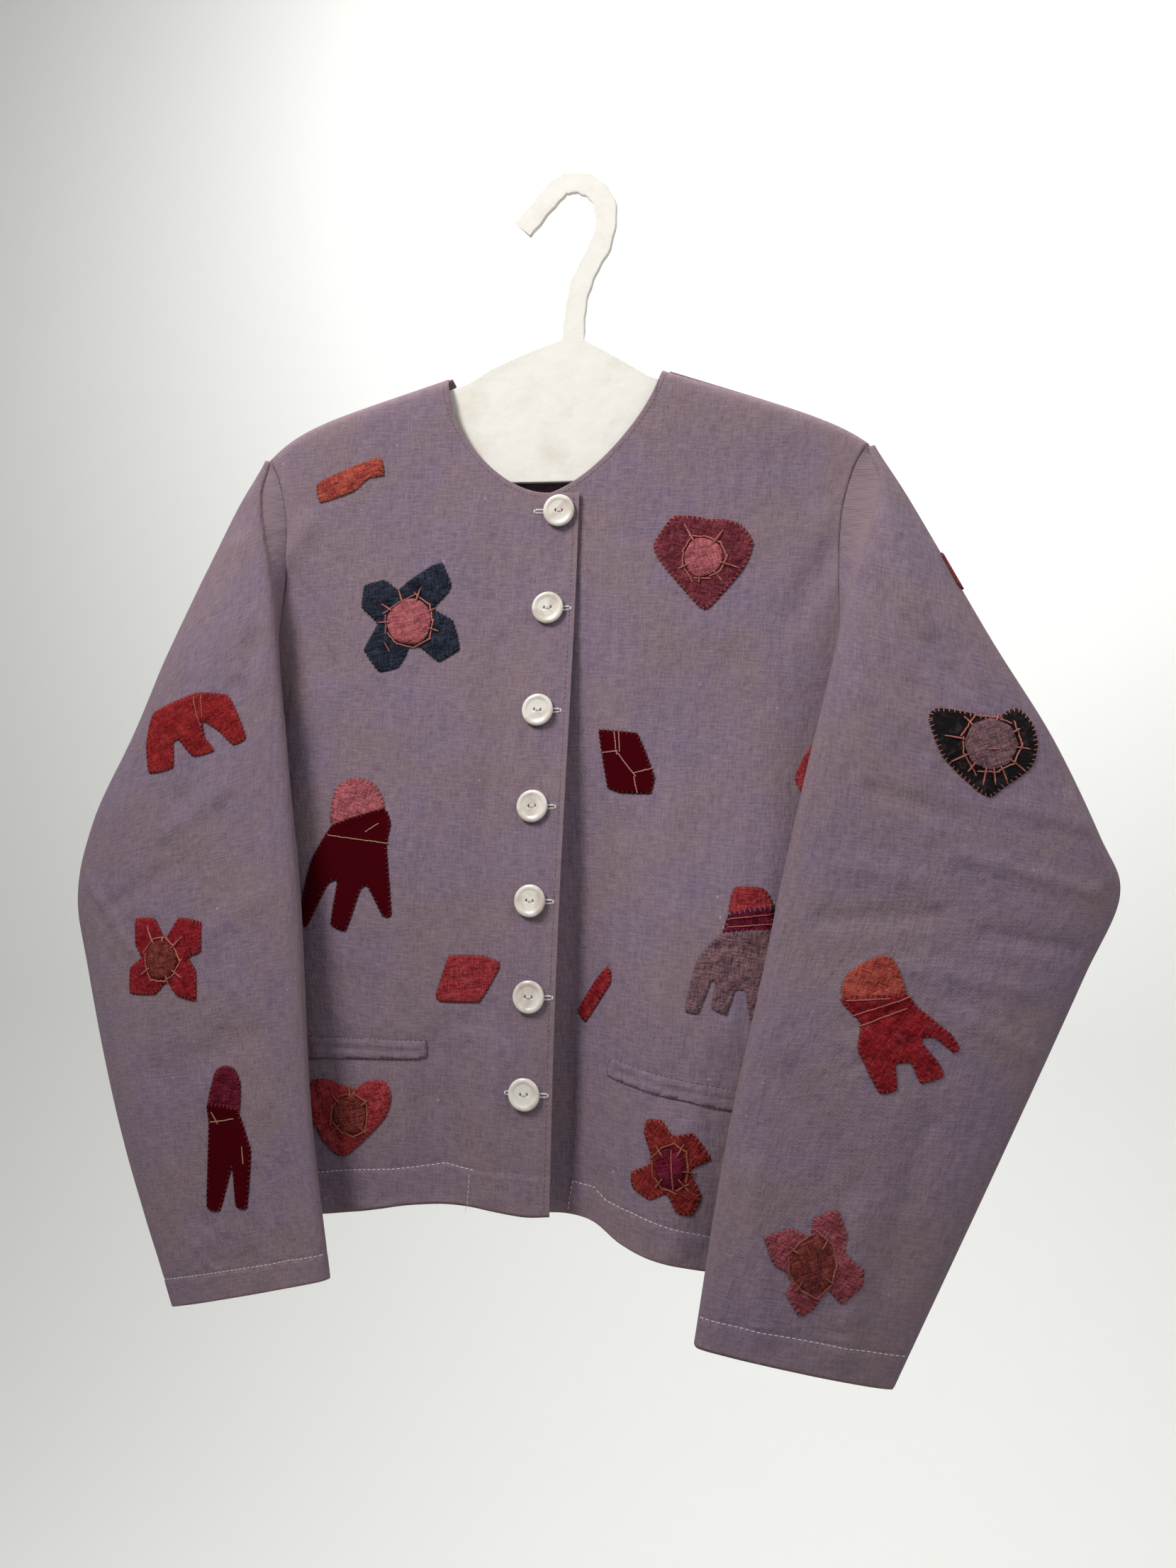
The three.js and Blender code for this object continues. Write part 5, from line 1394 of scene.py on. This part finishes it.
def make_buttons():
    shape = button_mesh()
    skin = SKINS["front_right"]
    thread = Thread("button_threads", 0.38)
    holes = Thread("buttonholes", 0.34)
    for k, (x, z) in enumerate(BUTTON_PLACES):
        y, _ = skin.hit(x, z)
        slope_x = (skin.hit(x + 8, z)[0] - skin.hit(x - 8, z)[0]) / 16
        slope_z = (skin.hit(x, z + 8)[0] - skin.hit(x, z - 8)[0]) / 16
        normal = Vector((slope_x, -1, slope_z)).normalized()
        turn = Vector((0, -1, 0)).rotation_difference(normal).to_matrix().to_4x4()
        spin = Matrix.Rotation(math.radians(BUTTON_TURNS[k]), 4, "Y")
        seat = place(x, y, z) + normal * 0.9 * MM
        data = shape.copy()
        data.transform(Matrix.Translation(seat) @ turn @ spin @ Matrix.Scale(MM, 4))
        button = bpy.data.objects.new(f"shell_button_{k + 1}", data)
        bpy.context.scene.collection.objects.link(button)
        keep(button, "pearl_button", MATERIALS["pearl_button"])
        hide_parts(f"button_{k + 1}")
        across = (turn @ spin).to_3x3() @ Vector((1, 0, 0))
        face = seat + normal * 1.2 * MM
        for lift in (-0.45, 0.0, 0.45):
            off = normal.cross(across) * lift * MM
            start, end = face - across * 2.0 * MM + off, face + across * 2.0 * MM + off
            thread.stitch(start, end, normal, arch=1.0)
        for side, inner, outer in HOLE_ENDS[k]:
            work_buttonhole_end(holes, skin, x, z, side, inner, outer)
    thread.done("white", "pearl_button")
    holes.done("white", "jacket_cloth")


def work_buttonhole_end(thread, skin, x, z, side, inner, outer):
    """A narrow loop of close stitches: two rows side by side, then a fan round the end."""
    pairs = []
    steps = round((outer - inner) / 0.55)
    for step in range(steps):
        along = side * lerp(inner, outer, step / steps)
        pairs += [((along, row * 0.5), (along, row * 1.7)) for row in (-1, 1)]
    for turn in (-60, -30, 0, 30, 60):
        cos, sin = math.cos(math.radians(turn)), math.sin(math.radians(turn))
        pairs.append(((side * (outer + 0.1 * cos), 0.4 * sin), (side * (outer + 1.5 * cos), 1.6 * sin)))
    for (ax, az), (bx, bz) in pairs:
        a = (x + ax, z + az)
        thread.sew(a, (x + bx, z + bz), skin, 0.35, at=a)


make_buttons()

# ---------------------------------------------------------------- hanger
HOOK = [
    (9, -98), (10, -80), (13, -63), (19, -49), (26, -36), (29.5, -21), (28, -7.5), (21, 2.5), (12, 6.8),
    (5, 7.4), (-1.5, 5.5), (-9, -1), (-18, -11.5), (-28, -22.5),
]


def hanger_outline():
    """The board with its flat hook as one outline, hook first, then the shoulders."""
    rows = [(k, *point) for k, point in enumerate(HOOK)]
    half = 7.5
    right, left = [], []
    count = 52
    for k in range(count + 1):
        at = k / count * (len(HOOK) - 1)
        x, z = through(rows, at)
        ahead, behind = through(rows, min(at + 0.02, len(HOOK) - 1)), through(rows, max(at - 0.02, 0))
        tx, tz = ahead[0] - behind[0], ahead[1] - behind[1]
        length = math.hypot(tx, tz)
        wave = half + 0.35 * math.sin(k * 1.7) + 0.25 * math.sin(k * 0.9)
        right.append((x + tz / length * wave, z - tx / length * wave))
        left.append((x - tz / length * wave, z + tx / length * wave))

    def arm(side):
        top = shoulder_line(side * 175) - 5.6
        return [
            (side * 26 + 4, -105.5), (side * 48, -116), (side * 61, -124),
            (side * 77, shoulder_line(side * 74) - 8.6), (side * 175, top), (side * 182, top - 5),
            (side * 184, top - 10), (side * 181, top - 16), (side * 171, top - 19),
            (side * 70, -194),
        ]

    return right + left[::-1] + arm(-1) + arm(1)[::-1]


def make_hanger():
    """Calico sewn tightly over a thin board, whipped together by hand along its edge."""
    outline = hanger_outline()
    if shoelace(outline) < 0:
        outline.reverse()
    bm = bmesh.new()
    face = bm.faces.new([bm.verts.new((x, 0, z)) for x, z in outline])
    grown = bmesh.ops.extrude_face_region(bm, geom=[face])["geom"]
    bmesh.ops.translate(bm, verts=[g for g in grown if isinstance(g, bmesh.types.BMVert)], vec=(0, -4, 0))
    bmesh.ops.recalc_face_normals(bm, faces=bm.faces)
    rims = [e for e in bm.edges if len(e.link_faces) == 2 and any(len(f.verts) > 4 for f in e.link_faces)]
    bmesh.ops.bevel(bm, geom=rims, offset=1.1, segments=3, profile=0.5, affect="EDGES", material=-1)
    for vert in bm.verts:
        vert.co = place(*vert.co)
    hanger = object_of(bm, "covered_hanger", shade=False)
    for polygon in hanger.data.polygons:
        polygon.use_smooth = len(polygon.vertices) <= 4
    keep(hanger, "hanger_canvas", MATERIALS["hanger_canvas"])
    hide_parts("hanger")
    skin = Skin(hanger)
    stitches = Thread("hanger_stitches", 0.3)
    edge = outline + outline[:1]
    for (x, z), (tx, tz) in walk(edge, 3.4):
        if z < -140:
            continue
        nx, nz = -tz, tx
        a = (x + nx * 2.4 + tx * 0.5, z + nz * 2.4 + tz * 0.5)
        b = (x + nx * 0.25, z + nz * 0.25)
        stitches.stitch(skin.lay(*a, 0.0), place(b[0], -2.2, b[1]), Vector((0, -1, 0)), arch=0.35)
    stitches.done("calico", "hanger_canvas")


make_hanger()


# ---------------------------------------------------------------- other hand work
# Threads laid over the patches: what they lie on, thread, and their lines.
LAID = [
    ("patch_hand_wine", "tan", [[(-146, -434), (-103, -438)], [(-119, -431), (-111, -426)]]),
    ("patch_diamond_wine", "pink", [
        [(48, -361), (50, -374), (62, -388), (65, -400)], [(51, -361), (52, -372)],
        [(40, -375), (50, -374)], [(62, -388), (73, -385)]]),
    ("patch_hand_narrow", "tan", [
        [(-209, -624), (-192, -620)], [(-208, -617), (-203, -623)], [(-182, -636), (-180, -646)]]),
    ("patch_hand_mauve_band", "coral", [[(128, -478), (155, -474)], [(127, -483), (156, -480)]]),
    ("patch_hand_red", "coral", [
        [(206, -531), (239, -519)], [(210, -537), (237, -526)], [(202, -522), (226, -520)]]),
    ("patch_arch", "coral", [[(-241, -342), (-238, -352), (-235, -360)], [(-235, -341), (-233, -355)]]),
    ("disc_heart_black", "coral", [[(282, -369), (287, -369)]]),
    ("patch_flower_navy", "coral", [[(-113, -303), (-110, -308)]]),
    ("patch_heart_red", "coral", [[(-123, -601), (-120, -606), (-117, -601)]]),
    ("disc_flower_rust", "coral", [[(99, -618), (101, -640)]]),
    ("disc_flower_rose", "dark", [[(182, -668), (186, -690)], [(191, -666), (190, -688)]]),
]


def make_laid_threads():
    for k, (name, thread, lines) in enumerate(LAID):
        laid = Thread(f"laid_thread_{k + 1}", 0.42)
        for line in lines:
            laid.laid(line, SKINS[name], wander=0.15)
        material = (PATCHES.get(name) or DISCS.get(name))[1]
        laid.done(thread, SLOT_OF.get(material, material))


def sleeve_line(side, s, start, end):
    """A level line round a sleeve's front, as x and z."""
    count = 30
    points = [sleeve_point(side, s, lerp(start, end, k / count)) for k in range(count + 1)]
    return [(x, z) for x, _, z in points]


def make_topstitching():
    hem = Thread("hem_stitches", 0.27)
    right, left = SKINS["front_right"], SKINS["front_left"]
    hand = {"length": 2.3, "gap": 1.1, "arch": 0.2}
    hem.run(HEM_STITCHES["front_right"][1:] + [(-38, -671)], right, **hand)
    hem.run([(26, -671), (29, -652), *HEM_STITCHES["front_left"][1:-1], (160, -671)], left, **hand)
    cuff = 1 - CUFF_HEM / SLEEVE_LENGTH
    for side, skin in ((-1, SKINS["sleeve_right_top"]), (1, SKINS["sleeve_left_top"])):
        hem.run(sleeve_line(side, cuff, FOLD_W + 0.01, EDGE_W - 0.045), skin, **hand)
    hem.done("white", "jacket_cloth")
    seams = Thread("seam_stitches", 0.2)
    for side, skin in ((-1, right), (1, left)):
        neck = [neck_point(side, k / 24) for k in range(1, 24)]
        seams.run([(x + side * 2.5, z - 2.2) for x, z in neck], skin, length=1.9, gap=1.0, arch=0.05)
    seams.run([(LAP - 3.5, -206), (LAP - 3.5, -668)], right, length=2.2, gap=1.2, arch=0.05)
    seams.done("mauve", "jacket_cloth")


make_laid_threads()
make_topstitching()


def make_edge_scrap():
    """The scrap that wraps the outer edge of the left sleeve, near the shoulder."""
    room = 0.9  # for the sleeve's ripples, which sleeve_point leaves out

    def at(u, v):
        s = lerp(0.112, 0.143, v)
        w = lerp(0.5, 0.65, u)
        here = Vector(sleeve_point(1, s, w))
        along = Vector(sleeve_point(1, s + 0.004, w)) - Vector(sleeve_point(1, s - 0.004, w))
        across = Vector(sleeve_point(1, s, w + 0.004)) - Vector(sleeve_point(1, s, w - 0.004))
        normal = along.cross(across).normalized()
        return here + normal * (CLOTH / 2 + CLEAR + room)

    def flat_uv(u, v, point):
        return u * 0.04, v * 0.018

    piece = cloth("patch_edge_red", at, spaced(36, 2), spaced(18, 2), flat_uv, lambda u, v, p: 0.0)
    piece.modifiers["cloth"].thickness = PATCH * MM
    keep(piece, "red_cloth", MATERIALS["red_cloth"])
    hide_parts("patch_edge_red")


make_edge_scrap()

# ---------------------------------------------------------------- light
world = bpy.data.worlds.new("daylight")
world.use_nodes = True
sky = world.node_tree.nodes["Background"].inputs
sky["Color"].default_value = colour("#f4f5f4")
sky["Strength"].default_value = 0.26
bpy.context.scene.world = world
add_light("window", (-0.75, -0.9, 0.8), (0.1, 0, -0.2), 0.5, 5.8, (1.0, 0.985, 0.96), spread=90)
add_light("fill", (1.3, -0.9, 0.7), (0.3, 0, -0.4), 1.0, 2.6, (0.97, 0.98, 1.0), spread=90)
add_light("wall", (0, 0.9, 1.6), (0, WALL_Y, -0.2), 2.0, 78, (1.0, 1.0, 0.99))
bpy.context.scene.view_settings.view_transform = "Standard"
